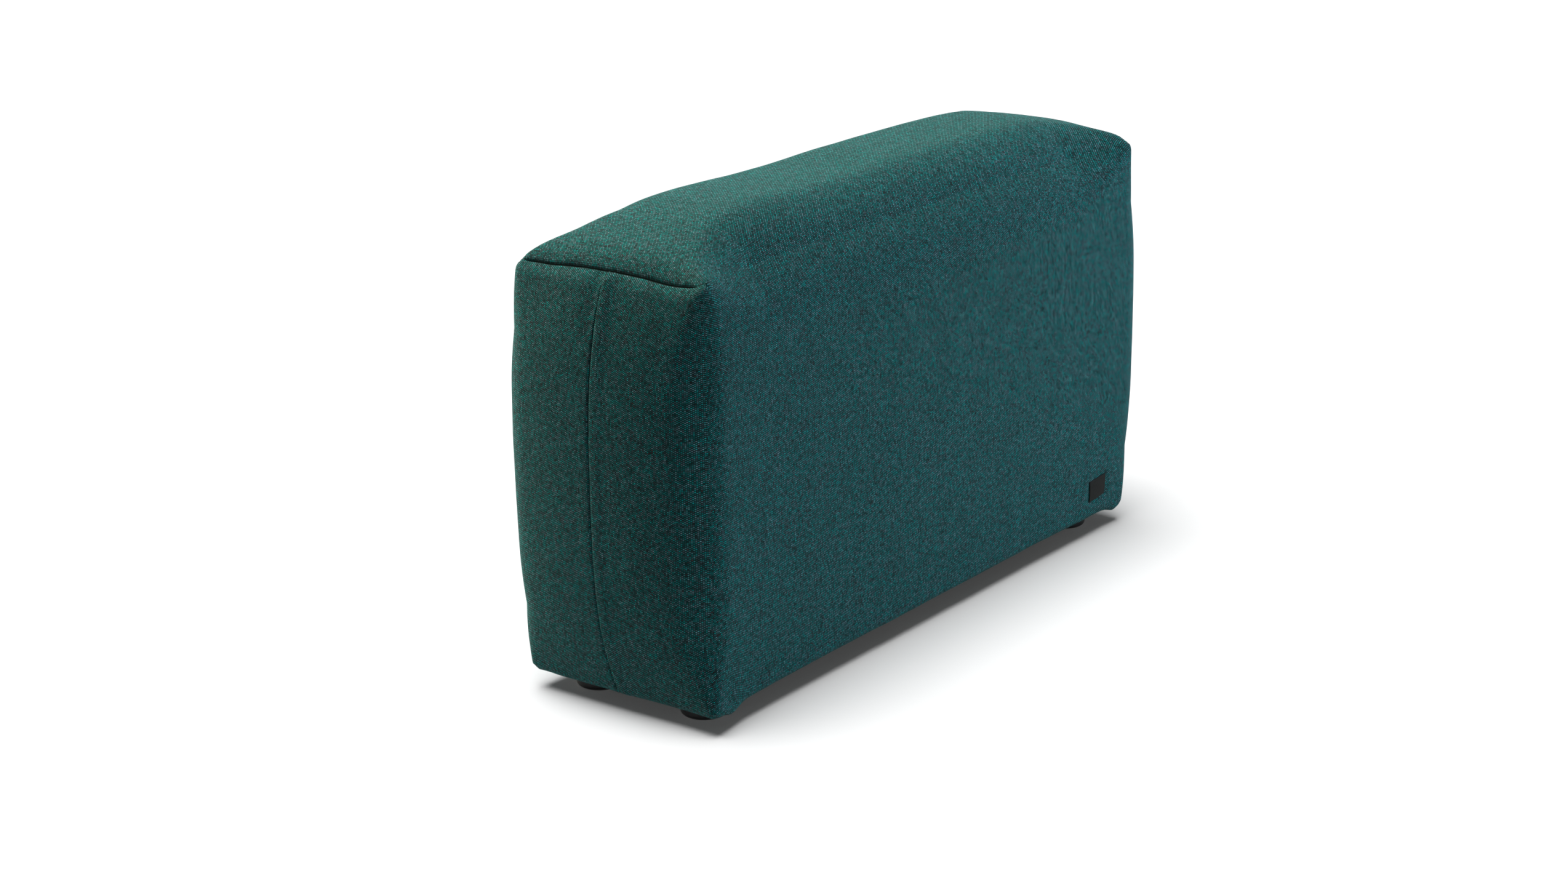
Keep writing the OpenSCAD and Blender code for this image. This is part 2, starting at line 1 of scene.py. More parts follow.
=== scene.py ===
"""Padded side element of a modular sofa: a woven cover over wadding and foam, on four round feet.

The cover's shape follows the same rounded box as the packed part: panel sizes, a swell between
the seams, a crown on top and a hem turned under the base. All lengths are in metres.
"""

import math

import bmesh
import bpy
import numpy as np
from mathutils import Matrix, Vector, noise


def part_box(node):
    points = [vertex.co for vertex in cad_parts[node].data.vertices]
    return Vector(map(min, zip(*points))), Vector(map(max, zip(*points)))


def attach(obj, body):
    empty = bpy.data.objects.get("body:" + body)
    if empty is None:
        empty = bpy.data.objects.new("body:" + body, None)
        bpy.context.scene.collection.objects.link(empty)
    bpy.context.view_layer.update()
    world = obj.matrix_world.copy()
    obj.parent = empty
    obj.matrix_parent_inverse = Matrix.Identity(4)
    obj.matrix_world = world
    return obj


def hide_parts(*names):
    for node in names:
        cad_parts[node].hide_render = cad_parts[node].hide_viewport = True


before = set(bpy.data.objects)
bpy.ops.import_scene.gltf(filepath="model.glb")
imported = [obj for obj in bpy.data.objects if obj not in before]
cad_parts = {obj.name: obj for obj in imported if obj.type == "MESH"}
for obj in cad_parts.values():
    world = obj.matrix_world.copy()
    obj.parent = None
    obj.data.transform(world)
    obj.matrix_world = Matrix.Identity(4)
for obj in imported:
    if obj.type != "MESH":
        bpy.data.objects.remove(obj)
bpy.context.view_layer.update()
BODY = "element"

# A share above this lies on a face of the cover's box
ON_FACE = 0.99999
TINY = 1e-9
# Length of a rounded edge's quarter circle as a share of the two sides that it cuts off
ARC_SHARE = math.pi / 4

bl_info = {
    "name": "Modular Sofa Side Element",
    "version": (1, 0, 0),
    "blender": (4, 5, 0),
    "location": "View3D > Sidebar > Sofa",
    "description": "Dresses the packed sofa element with its cover, padding, label and finishes",
    "category": "Object",
}


# Sizes and colours that a user may change
def length(name, description, default):
    return bpy.props.FloatProperty(
        name=name, description=description, default=default, unit="LENGTH", precision=4
    )


def number(name, description, default):
    return bpy.props.FloatProperty(name=name, description=description, default=default)


def angle(name, description, default):
    return bpy.props.FloatProperty(
        name=name, description=description, default=math.radians(default), subtype="ANGLE"
    )


def colour(name, description, default):
    return bpy.props.FloatVectorProperty(
        name=name, description=description, default=default, subtype="COLOR", size=3
    )


class CoverShape(bpy.types.PropertyGroup):
    """Panel sizes of the cover and how far it swells between its seams."""

    seam_length: length("Seam length", "Distance between the two end seam planes", 0.964)
    panel_depth: length("Panel depth", "Depth of the cut panels, front to back", 0.285)
    seam_height: length("Seam height", "Height of the end top seams above the floor", 0.560)
    hem_height: length("Hem height", "Height of the hem above the floor", 0.026)
    flange_width: length("Flange width", "Width of the edge turned under the base", 0.024)
    flange_height: length("Flange height", "Height of the turned edge above the floor", 0.0332)
    fabric: length("Fabric", "Thickness of the fabric with its backing", 0.0016)
    end_fill_middle: length("End fill, middle", "Swell of each end in its middle", 0.0429)
    end_fill_edge: length("End fill, edge", "Swell of each end along its corners", 0.0187)
    side_fill_middle: length("Side fill, middle", "Swell of the sides at half length", 0.0078)
    side_fill_end: length("Side fill, end", "Swell of the sides near the ends", 0.0182)
    top_crown: length("Top crown", "Height of the crown above the end seams", 0.051)
    hump: length("Hump", "Height of the long hump in the top", 0.0097)
    short_hump: length("Short hump", "Height of the two short humps", 0.003)
    lean: length("Lean", "Tilt of the top towards the right", 0.0031)
    short_lean: length("Short lean", "Second, shorter tilt of the top", 0.0026)
    corner_drop: length("Corner drop", "How far the back top corners sit below the seams", 0.0065)
    corner_lift_left: length("Corner lift, left", "Height the front left corner regains", 0.009)
    corner_lift_right: length("Corner lift, right", "Height the front right corner regains", 0.0035)
    corner_drop_length: length("Corner drop length", "Length of that drop", 0.110)
    taper: length("Taper", "How much narrower the hem is than the top, each side", 0.0008)
    corner_radius: length("Corner radius", "Radius of the upright corners", 0.0414)
    top_radius: length("Top radius", "Radius of the long top edges", 0.088)
    end_top_radius: length("End top radius", "Radius along the end top seams", 0.0194)
    hem_radius: length("Hem radius", "Radius of the turned hem", 0.0105)
    tight_radius: length("Tight radius", "Radius left in the hem's corners", 0.007)
    upright_tip_radius: length("Upright tip radius", "Corner radius left at the seam", 0.012)
    tip_radius: length("Tip radius", "Radius left at the ends of the long top edges", 0.006)
    tip_out: length("Tip out", "How far the top corners stand out to the side", 0.0035)
    tip_up: length("Tip up", "How far the top corners stand up", 0.0020)
    tip_reach: length("Tip reach", "How far from its corner a tip spreads", 0.025)
    flare: length("Flare", "How far the hem stands out at its corners", 0.007)
    flare_reach: length("Flare reach", "How far from its corner a flare spreads", 0.030)
    hem_sag: length("Hem sag", "How far the long hems hang lower towards the ends", 0.003)
    corner_fade: length("Corner fade", "Height over which a corner tightens", 0.090)
    top_fade: length("Top fade", "Length over which a top edge tightens", 0.120)
    ear_drop: length("Ear drop", "Extra drop of the long hems beside the corners", 0.0075)
    ear_place: length("Ear place", "Distance of that drop from the left end", 0.042)
    ear_place_right: length("Ear place, right", "Distance of that drop from the right end", 0.020)
    seam_dip: length("Seam dip", "How far the end top seams sag beside their middle", 0.0030)
    ear_length: length("Ear length", "Length of that drop along the front", 0.018)
    shoulder: length("Shoulder", "Extra height of the top just inside the end seams", 0.004)


class CoverSewing(bpy.types.PropertyGroup):
    """Seams, puckers and slack of the cover."""

    top_seam_depth: length("Top seam depth", "How deep the end top seams pull in", 0.0036)
    top_seam_width: length("Top seam width", "How far the pull reaches", 0.0022)
    end_seam_depth: length("End seam depth", "How deep the upright end seams pull in", 0.0018)
    end_seam_width: length("End seam width", "How far that pull reaches", 0.0030)
    allowance: length("Seam allowance", "Width of the folded edge beside a seam", 0.011)
    allowance_rise: length("Allowance rise", "How far the folded edge stands up", 0.0007)
    roll: length("Roll", "How far the front panel bulges over the end seam near the top", 0.0024)
    roll_length: length("Roll length", "How far down that bulge reaches", 0.075)
    pucker: length("Pucker", "Height of the puckers along the seams", 0.0009)
    pucker_reach: length("Pucker reach", "How far the puckers run out", 0.016)
    slack: length("Slack", "Height of the long soft waves in the panels", 0.0011)
    slack_size: length("Slack size", "Size of those waves", 0.16)
    label_pull: length("Label pull", "How far the label's edge draws the cover in", 0.0012)


class WeaveFinish(bpy.types.PropertyGroup):
    """Yarns and colours of the cover fabric."""

    warp_pitch: length("Warp pitch", "Distance between two upright yarns", 0.00182)
    weft_pitch: length("Weft pitch", "Distance between two level yarns", 0.00116)
    # The gap colour is painted shade: deep between the yarns, and where the end seams pull the
    # cloth in
    gap: colour("Gap", "Colour deep between the yarns", (0.0007, 0.0035, 0.0035))
    weft: colour("Weft", "Colour of the dark level yarns", (0.0024, 0.0180, 0.0185))
    teal: colour("Teal fibre", "Strongest teal of the upright yarns", (0.0022, 0.3450, 0.3311))
    grey: colour("Grey fibre", "Greyest blue of the upright yarns", (0.1680, 0.3050, 0.3450))
    brown: colour("Brown fibre", "Rare brown flecks", (0.080, 0.060, 0.062))
    contrast: number("Contrast", "How much lighter and darker stretches of a yarn get", 0.80)
    speckle: number("Speckle", "How much the crossings differ from each other", 0.40)


class LabelSizes(bpy.types.PropertyGroup):
    """The bare woven label on the front."""

    width: length("Width", "Width of the label", 0.040)
    height: length("Height", "Height of the label", 0.032)
    turn: angle("Turn", "Turn of the label in its plane", 5.0)
    thickness: length("Thickness", "Thickness of the folded label", 0.0011)
    rib: length("Rib", "Distance between the ribs of its weave", 0.0021)
    tone: colour("Tone", "Colour of the label", (0.0022, 0.0024, 0.0020))


class PaddingSizes(bpy.types.PropertyGroup):
    """Wadding, foam and underside cloth."""

    gap: length("Gap", "Free space between soft pieces", 0.0003)
    wadding: length("Wadding", "Thickness of the wadding", 0.012)
    cloth_sag: length("Cloth sag", "How far the underside cloth hangs between staples", 0.0006)


class StudioSettings(bpy.types.PropertyGroup):
    """Camera, lamps and floor."""

    azimuth: angle("Azimuth", "Direction of the camera round the object", -53.36877)
    elevation: angle("Elevation", "Height of the camera's direction", 17.88262)
    roll: angle("Roll", "Tilt of the camera about its own axis", -0.82689)
    distance: length("Distance", "Distance from the camera to its target", 3.87603)
    target_height: length("Target height", "Height of the point that the target is set from", 0.300)
    target_right: length("Target right", "Target's place to the right of that point", -0.08205)
    target_up: length("Target up", "Target's place above that point", -0.08489)
    focal_share: number("Focal share", "Focal length as a share of the picture's width", 1.88316)
    key_strength: number("Key strength", "Strength of the softbox above and behind", 0.81)
    key_azimuth: angle("Key azimuth", "Direction of that softbox round the object", -165.0)
    key_elevation: angle("Key elevation", "Height of that softbox's direction", 70.0)
    key_distance: length("Key distance", "Distance of that softbox", 1.60)
    key_width: length("Key width", "Width of that softbox", 1.00)
    back_strength: number("Back strength", "Strength of the soft lamp behind", 0.88)
    back_azimuth: angle("Back azimuth", "Direction of that lamp round the object", -174.0)
    back_elevation: angle("Back elevation", "Height of that lamp's direction", 16.0)
    back_softness: angle("Back softness", "Angle that lamp covers", 28.0)
    key_tint: colour("Key tint", "Colour of the softbox above and behind", (1.0, 0.99, 0.84))
    back_tint: colour("Back tint", "Colour of the lamp behind", (0.96, 0.99, 0.78))
    side_strength: number("Side strength", "Strength of the softbox at the right", 0.30)
    side_azimuth: angle("Side azimuth", "Direction of that softbox round the object", 60.0)
    side_elevation: angle("Side elevation", "Height of that softbox's direction", 15.0)
    side_distance: length("Side distance", "Distance of that softbox", 1.50)
    side_width: length("Side width", "Width of that softbox", 0.80)
    front_strength: number("Front strength", "Strength of the soft lamp in front", 0.35)
    front_azimuth: angle("Front azimuth", "Direction of that lamp round the object", 30.0)
    front_elevation: angle("Front elevation", "Height of that lamp's direction", 30.0)
    front_softness: angle("Front softness", "Angle that lamp covers", 86.0)
    fill_tint: colour("Fill tint", "Colour of the side softbox and front lamp", (0.56, 0.82, 1.0))
    top_strength: number("Top strength", "Strength of the lamp that lights the floor", 1.34)
    top_azimuth: angle("Top azimuth", "Side that lamp leans to", -116.6)
    top_elevation: angle("Top elevation", "Height of that lamp's direction", 80.0)
    top_softness: angle("Top softness", "Angle that lamp covers", 50.0)
    sky: number("Sky", "Strength of the studio's own soft light", 0.07)
    floor_bounce: number("Floor bounce", "Shade of the floor as the object sees it", 0.27)
    floor_shade: number("Floor shade", "Shade of the floor as the camera sees it", 0.88)
    floor_glow: number("Floor glow", "Brightness added to the floor for the camera", 0.045)


GROUPS = {
    "sofa_shape": CoverShape,
    "sofa_sewing": CoverSewing,
    "sofa_weave": WeaveFinish,
    "sofa_label": LabelSizes,
    "sofa_padding": PaddingSizes,
    "sofa_studio": StudioSettings,
}


# Modelling helpers
def deselect():
    if bpy.context.object and bpy.context.object.mode != "OBJECT":
        bpy.ops.object.mode_set(mode="OBJECT")
    bpy.ops.object.select_all(action="DESELECT")


def choose(piece):
    """Make a piece the only selected and active one."""
    deselect()
    piece.select_set(True)
    bpy.context.view_layer.objects.active = piece


def select_where(piece, kind, test):
    """Enter Edit mode and select only the active piece's faces or edges that pass a test."""
    bpy.ops.object.mode_set(mode="EDIT")
    bpy.ops.mesh.select_mode(type=kind)
    bpy.ops.mesh.select_all(action="DESELECT")
    mesh = bmesh.from_edit_mesh(piece.data)
    for part in mesh.faces if kind == "FACE" else mesh.edges:
        part.select_set(test(part))
    bmesh.update_edit_mesh(piece.data)


def get_points(piece):
    points = np.empty(len(piece.data.vertices) * 3)
    piece.data.vertices.foreach_get("co", points)
    return points.reshape(-1, 3)


def set_points(piece, points):
    piece.data.vertices.foreach_set("co", np.ascontiguousarray(points, float).ravel())
    piece.data.update()


def get_normals(piece):
    normals = np.empty(len(piece.data.vertices) * 3, np.float32)
    piece.data.vertex_normals.foreach_get("vector", normals)
    return normals.reshape(-1, 3).astype(float)


def apply_modifier(piece, kind, name, **settings):
    choose(piece)
    modifier = piece.modifiers.new(name, kind)
    for key, value in settings.items():
        setattr(modifier, key, value)
    bpy.ops.object.modifier_apply(modifier=name)


def smooth(piece, degrees):
    choose(piece)
    bpy.ops.object.shade_smooth_by_angle(angle=math.radians(degrees))


def dress(piece, material):
    """Give a new piece its finish and its place on the sofa's body."""
    piece.data.materials.clear()
    piece.data.materials.append(material)
    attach(piece, BODY)


def smoothstep(t):
    t = np.clip(t, 0, 1)
    return t * t * (3 - 2 * t)


def bell(distance, width):
    return np.exp(-((distance / width) ** 2))


# The cover's rounded box
def rounding(a, b, radius):
    """Where an edge's rounding moves a point at distances a and b from two faces, along each.

    On a third face, rings that lie further in are rounded less, so that its corner stays smooth.
    """
    ring = np.minimum(a, b)
    left = np.maximum(radius - ring, TINY)
    turn = np.radians(np.clip(45 * (1 + (a - b) / left), 0, 90))
    near = (a < radius) & (b < radius)
    return (
        np.where(near, left * (1 - np.cos(turn)) - (a - ring), 0),
        np.where(near, left * (1 - np.sin(turn)) - (b - ring), 0),
    )


class CoverBox:
    """The cover's outside, or a skin some depth inside it, from shares -1 to 1 along X, Y and Z."""

    BELLY_POWER = 3.1
    END_POWER = 2.5
    SIDE_POWER = 3.8
    TOP_POWER = 4
    CORNER_POWER = 6
    EAR_POWER = 10
    SAG_POWER = 4
    SAG_STOP = 0.6
    FADE_POWER = 0.7
    EDGE_LOSS = 0.6
    EDGE_LOSS_POWER = 3
    SHOULDER_PLACE = 0.94
    SHOULDER_WIDTH = 0.05
    DIP_PLACE = 0.62
    DIP_WIDTH = 0.22

    def __init__(self, shape, depth=0.0):
        self.shape = shape
        self.half_l = shape.seam_length / 2 - depth
        self.half_d = shape.panel_depth / 2 - depth
        self.half_h = (shape.seam_height - shape.hem_height) / 2 - depth
        self.middle = (shape.seam_height + shape.hem_height) / 2
        self.depth = depth

    def distances(self, shares):
        """Distances of points from the end, side, top and hem planes."""
        p, q, s = shares.T
        return (
            (1 - np.abs(p)) * self.half_l,
            (1 - np.abs(q)) * self.half_d,
            (1 - s) * self.half_h,
            (1 + s) * self.half_h,
        )

    def radii(self, shares):
        """Radii of the upright corners and of the long top edges at some points."""
        shape = self.shape
        from_end, _, from_top, from_hem = self.distances(shares)
        fade = np.minimum(np.minimum(from_top, from_hem) / shape.corner_fade, 1)
        tight = np.where(from_top < from_hem, shape.upright_tip_radius, shape.tight_radius)
        upright = tight + (shape.corner_radius - tight) * fade
        fade = np.minimum(np.maximum(from_end, 0) / shape.top_fade, 1) ** self.FADE_POWER
        long = shape.tip_radius + (shape.top_radius - shape.tip_radius) * fade
        return np.maximum(upright - self.depth, 0), np.maximum(long - self.depth, 0)

    def top_wave(self, p):
        shape, turn = self.shape, np.pi * p
        return (
            -shape.hump * np.cos(turn)
            - shape.lean * np.sin(turn)
            + shape.short_hump * np.cos(2 * turn)
            + shape.short_lean * np.sin(2 * turn)
        )

    def points(self, shares):
        shape = self.shape
        p, q, s = shares.T
        from_end, from_side, from_top, from_hem = self.distances(shares)
        upright_radius, long_radius = self.radii(shares)
        end_radius = max(shape.end_top_radius - self.depth, 0)
        hem_radius = max(shape.hem_radius - self.depth, 0)
        corner_x, corner_y = rounding(from_end, from_side, upright_radius)
        long_y, long_z = rounding(from_side, from_top, long_radius)
        end_x, end_z = rounding(from_end, from_top, end_radius)
        hem_y, hem_side_z = rounding(from_side, from_hem, hem_radius)
        hem_x, hem_end_z = rounding(from_end, from_hem, hem_radius)
        belly = 1 - np.abs(s) ** self.BELLY_POWER
        end_fill = shape.end_fill_edge + (shape.end_fill_middle - shape.end_fill_edge) * (
            1 - np.abs(q) ** self.END_POWER
        )
        side_fill = shape.side_fill_end + (shape.side_fill_middle - shape.side_fill_end) * (
            1 - np.abs(p) ** self.SIDE_POWER
        )
        lift = ((1 + s) / 2) ** self.TOP_POWER
        crown = (
            lift
            * (shape.top_crown + self.top_wave(p))
            * (1 - np.abs(p) ** self.TOP_POWER)
            * (1 - self.EDGE_LOSS * np.abs(q) ** self.EDGE_LOSS_POWER)
        )
        at_corner = np.abs(q) ** self.CORNER_POWER
        regained = np.where(p < 0, shape.corner_lift_left, shape.corner_lift_right)
        corner = (
            lift
            * (shape.corner_drop - np.where(q < 0, regained, 0) * at_corner)
            * np.abs(q) ** self.TOP_POWER
            * bell(from_end, shape.corner_drop_length)
        )
        low = ((1 - s) / 2) ** self.EAR_POWER
        ear_place = np.where(p * q > 0, shape.ear_place, shape.ear_place_right)
        ear = low * shape.ear_drop * at_corner * bell(from_end - ear_place, shape.ear_length)
        from_seam = from_end**2 + from_top**2
        dip = (
            shape.seam_dip
            * bell(np.abs(q) - self.DIP_PLACE, self.DIP_WIDTH)
            * np.exp(-from_seam / (2 * shape.flare_reach**2))
        )
        in_front = 1 - smoothstep((q - self.SAG_STOP) / (1 - self.SAG_STOP))
        sag = shape.hem_sag * low * np.abs(p) ** self.SAG_POWER * in_front
        beside_end = bell(np.abs(p) - self.SHOULDER_PLACE, self.SHOULDER_WIDTH)
        shoulder = lift * shape.shoulder * beside_end
        x = p * (self.half_l + end_fill * belly) - np.sign(p) * (corner_x + end_x + hem_x)
        y = q * (self.half_d + side_fill * belly) - np.sign(q) * (corner_y + long_y + hem_y)
        y = y * (1 + s * shape.taper / (shape.panel_depth / 2))
        z = self.middle + s * self.half_h - long_z - end_z + hem_side_z + hem_end_z
        beside = from_end**2 + from_side**2
        tip = np.exp(-(beside + from_top**2) / (2 * shape.tip_reach**2))
        flare = np.exp(-(beside + from_hem**2) / (2 * shape.flare_reach**2))
        tip = np.where(q < 0, tip, 0)
        flare = np.where(p * q > 0, flare, 0)
        x = x + np.sign(p) * (tip * shape.tip_out / 2 + flare * shape.flare / 4)
        y = y + np.sign(q) * (tip * shape.tip_out + flare * shape.flare)
        z = z + crown + shoulder - corner - dip - ear - sag + tip * shape.tip_up
        return np.stack([x, y, z], 1)


def toward_ends(t, share):
    """Draw evenly spaced lines towards both ends."""
    return t * (1 + share) - share * t**3


def toward_seams(t, share):
    """Draw evenly spaced lines towards both ends and the middle."""
    a = np.abs(t)
    return np.sign(t) * (a - share * np.sin(2 * np.pi * a) / (2 * np.pi))


def cut_box(name, cuts, floor):
    """A box from -1 to 1 with its faces cut into fields by lines across each axis."""
    deselect()
    bpy.ops.mesh.primitive_cube_add(size=2)
    piece = bpy.context.object
    piece.name = name
    for axis, line_count in enumerate(cuts):
        across = Vector([k == axis for k in range(3)])
        select_where(
            piece, "EDGE", lambda edge: abs((edge.verts[0].co - edge.verts[1].co) @ across) > 1
        )
        bpy.ops.mesh.subdivide(number_cuts=line_count)
    if not floor:
        select_where(piece, "FACE", lambda face: face.calc_center_median().z < -ON_FACE)
        bpy.ops.mesh.delete(type="FACE")
    bpy.ops.object.mode_set(mode="OBJECT")
    return piece


def turn_under(piece, rings, step):
    """Extrude the open lower edge downwards, ring by ring, for the edge that turns under.

    Extruding lists what it adds in another order each run, so the new edges and faces are put in
    the order of their corners' numbers, after the old ones.
    """
    old_count = len(piece.data.vertices)
    choose(piece)
    select_where(piece, "EDGE", lambda edge: edge.is_boundary)
    for _ in range(rings):
        bpy.ops.mesh.extrude_edges_move(TRANSFORM_OT_translate={"value": (0, 0, -step)})

    def new_corners(part):
        numbers = sorted((vert.index for vert in part.verts), reverse=True)
        return numbers if numbers[0] >= old_count else []

    mesh = bmesh.from_edit_mesh(piece.data)
    mesh.verts.index_update()
    for parts in (mesh.edges, mesh.faces):
        places = {part: place for place, part in enumerate(sorted(parts, key=new_corners))}
        parts.sort(key=places.get)
    bmesh.update_edit_mesh(piece.data)
    bpy.ops.object.mode_set(mode="OBJECT")


def arc(distance, radius):
    """Length along the cloth for a distance from an edge that is rounded to a radius."""
    return np.minimum(distance, radius) * ARC_SHARE + np.maximum(distance - radius, 0)


def lay_weave(piece, box, shares):
    """Give every face corner its place on the cloth, in metres along the two sets of yarns."""
    mesh = piece.data
    loops = np.empty(len(mesh.loops), int)
    mesh.loops.foreach_get("vertex_index", loops)
    sizes = np.empty(len(mesh.polygons), int)
    mesh.polygons.foreach_get("loop_total", sizes)
    face_of = np.repeat(np.arange(len(sizes)), sizes)
    corner = shares[loops]
    centre = np.stack([np.bincount(face_of, corner[:, k]) / sizes for k in range(3)], 1)[face_of]
    on_end = np.abs(centre[:, 0]) > ON_FACE
    on_top = centre[:, 2] > ON_FACE
    at_back = centre[:, 1] > 0
    under = np.maximum(-1 - corner[:, 2], 0)
    corner[:, 2] = np.clip(corner[:, 2], -1, 1)
    from_end, from_side, from_top, _ = box.distances(corner)
    upright, long = box.radii(corner)
    edge_u = box.half_l - upright + upright * ARC_SHARE
    front_v = box.half_h - long + long * ARC_SHARE
    back_v = front_v + 2 * (box.half_d - long + long * ARC_SHARE)
    round_corner = np.where(on_end, arc(from_side, upright), -arc(from_end, upright))
    u = np.where(on_top, box.half_l - from_end, edge_u + round_corner)
    u = np.where(corner[:, 0] < 0, -1, 1) * u
    down = arc(from_top, np.where(on_end, 0, long)) + under * 2 * box.half_d
    v = np.where(at_back, back_v + down, front_v - down)
    over = arc(from_side, long)
    top_v = np.where(corner[:, 1] > 0, back_v - over, front_v + over)
    v = np.where(on_top, top_v, v)
    layer = mesh.uv_layers.new(name="weave")
    layer.data.foreach_set("uv", np.stack([u, v], 1).astype(np.float32).ravel())


def wave(points, size, seed):
    """Smooth noise at some points, from about -1 to 1."""
    return np.array([noise.noise(Vector(point) / size + Vector((seed, 0, 0))) for point in points])


# Seams and the cloth beside them: widths and places in metres, else shares and powers.
# FAR is the distance given to points that have no seam of a kind on their panel.
FAR = 1
CREASE_START, CREASE_FADE, CREASE_POWER = 0.007, 0.018, 1.7
UPRIGHT_DEPTH, UPRIGHT_EXTRA, UPRIGHT_EXTRA_LENGTH = 0.65, 0.85, 0.16
UPRIGHT_FADE, UPRIGHT_POWER = 0.002, 1.8
FOLD_START, FOLD_END, BACK_FOLD = 0.0022, 0.005, 0.25
ROLL_START, ROLL_PLACE, ROLL_WIDTH, ROLL_EDGE, BACK_ROLL = 0.006, 0.006, 0.012, 0.003, -0.9
PUCKER_SIZE, PUCKER_STRETCH, PUCKER_FADE, UPRIGHT_PUCKER = 0.013, (0.35, 1, 1), 0.014, 0.6
HEM_REACH, HEM_RIPPLE_SIZE, HEM_RIPPLE = 0.022, 0.03, 0.5
FINE_SLACK, FINER = 0.45, 3
TAUT, TAUT_REACH = 0.8, 0.03
PUCKER_SEED, HEM_SEED, SLACK_SEED, FINE_SLACK_SEED = 7.0, 21.0, 3.0, 5.0


def seam_pull(shares, box, sewing):
    """How deep the end seams pull a point in, and its distances from the two kinds of seam."""
    p, q, s = shares.T
    from_end, from_side, from_top, _ = box.distances(shares)
    on_end = np.abs(p) > ON_FACE
    by_top_seam = (on_end | (s > ON_FACE)) & (s >= -1)
    beside = np.where(by_top_seam, np.where(on_end, from_top, from_end) * ARC_SHARE, FAR)
    upright = np.where(on_end & (s >= -1), np.abs(q) * box.half_d, FAR)
    pull = (
        sewing.top_seam_depth
        * smoothstep((from_side - CREASE_START) / CREASE_FADE)
        * np.clip(1 - beside / sewing.top_seam_width, 0, 1) ** CREASE_POWER
    )
    pull += (
        sewing.end_seam_depth
        * (UPRIGHT_DEPTH + UPRIGHT_EXTRA * bell(from_top, UPRIGHT_EXTRA_LENGTH))
        * smoothstep(from_top / UPRIGHT_FADE)
        * np.clip(1 - upright / sewing.end_seam_width, 0, 1) ** UPRIGHT_POWER
    )
    return pull, beside, upright


def sew(points, normals, shares, box, sewing):
    """Pull the seams in, pucker the cloth beside them and let the panels wave softly.

    Returns the new points and, for each, how far the seams pull it in as a share of the top seam's
    depth, which the weave turns into painted shade.
    """
    _, q, s = shares.T
    _, from_side, from_top, from_hem = box.distances(shares)
    pull, beside, upright = seam_pull(shares, box, sewing)
    fold = smoothstep(upright / FOLD_START)
    fold *= 1 - smoothstep((upright - sewing.allowance) / FOLD_END)
    rise = np.where(q < 0, 1, BACK_FOLD) * sewing.allowance_rise * fold
    roll = smoothstep(from_top / ROLL_START) * bell(from_top, sewing.roll_length)
    roll *= bell(upright - ROLL_PLACE, ROLL_WIDTH) * smoothstep(upright / ROLL_EDGE)
    rise += np.where(q < 0, 1, BACK_ROLL) * sewing.roll * roll
    ripples = wave(points * np.array(PUCKER_STRETCH), PUCKER_SIZE, PUCKER_SEED)
    near = smoothstep(from_side / PUCKER_FADE)
    near *= np.exp(-beside / sewing.pucker_reach) * (beside < FAR)
    near += UPRIGHT_PUCKER * np.exp(-upright / sewing.pucker_reach) * (upright < FAR)
    hem = np.exp(-from_hem / HEM_REACH) * (s >= -1)
    hem_ripples = wave(points, HEM_RIPPLE_SIZE, HEM_SEED)
    slack = wave(points, sewing.slack_size, SLACK_SEED)
    slack += FINE_SLACK * wave(points, sewing.slack_size / FINER, FINE_SLACK_SEED)
    taut = np.clip(np.exp(-beside / TAUT_REACH) + np.exp(-upright / TAUT_REACH), 0, 1)
    push = (
        sewing.slack * slack * (1 - TAUT * taut)
        + sewing.pucker * ripples * near
        + HEM_RIPPLE * sewing.pucker * hem_ripples * hem
        + rise
        - pull
    )
    return points + normals * push[:, None], np.clip(pull / sewing.top_seam_depth, 0, 1)


def label_frame(context):
    """The label's middle on the cover's front, from the packed label, with its two directions."""
    low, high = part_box("label_patch")
    label = context.scene.sofa_label
    middle = (low + high) / 2
    right = Vector((math.cos(label.turn), 0, math.sin(label.turn)))
    up = Vector((-math.sin(label.turn), 0, math.cos(label.turn)))
    return middle, right, up


# How the label's edge draws the cover in: widths and places in metres, else shares
DRAW_WIDTH, DRAW_INSIDE, DRAW_DEPTH = 0.004, 0.35, 0.03
SWELL, SWELL_PLACE, SWELL_WIDTH = 0.8, 0.013, 0.008
RIPPLE, RIPPLE_SIZE, RIPPLE_PLACE, RIPPLE_WIDTH, RIPPLE_SEED = 0.9, 0.012, 0.008, 0.010, 11.0


def draw_in_label(points, normals, label, place, pull):
    """Draw the cover in along the label's edge, with a soft swell outside it."""
    middle, right, up = (np.array(v) for v in place)
    offset = points - middle
    across = np.abs(offset @ right) - label.width / 2
    along = np.abs(offset @ up) - label.height / 2
    outside = np.hypot(np.maximum(across, 0), np.maximum(along, 0))
    edge = outside + np.minimum(np.maximum(across, along), 0)
    front = bell(points[:, 1] - middle[1], DRAW_DEPTH)
    draw = bell(edge, DRAW_WIDTH) + DRAW_INSIDE * (edge < 0)
    swell = SWELL * bell(edge - SWELL_PLACE, SWELL_WIDTH)
    ripples = wave(points, RIPPLE_SIZE, RIPPLE_SEED) * bell(edge - RIPPLE_PLACE, RIPPLE_WIDTH)
    push = pull * front * (RIPPLE * ripples + swell - draw)
    return points + normals * push[:, None]


# Lines that cut the cover's mesh, how they crowd, and the rings of the edge that turns under
COVER_CUTS = (127, 63, 83)
CROWD_X, CROWD_Y, CROWD_Z = 0.45, 0.85, 0.43
RINGS, RING_STEP = 6, 0.02


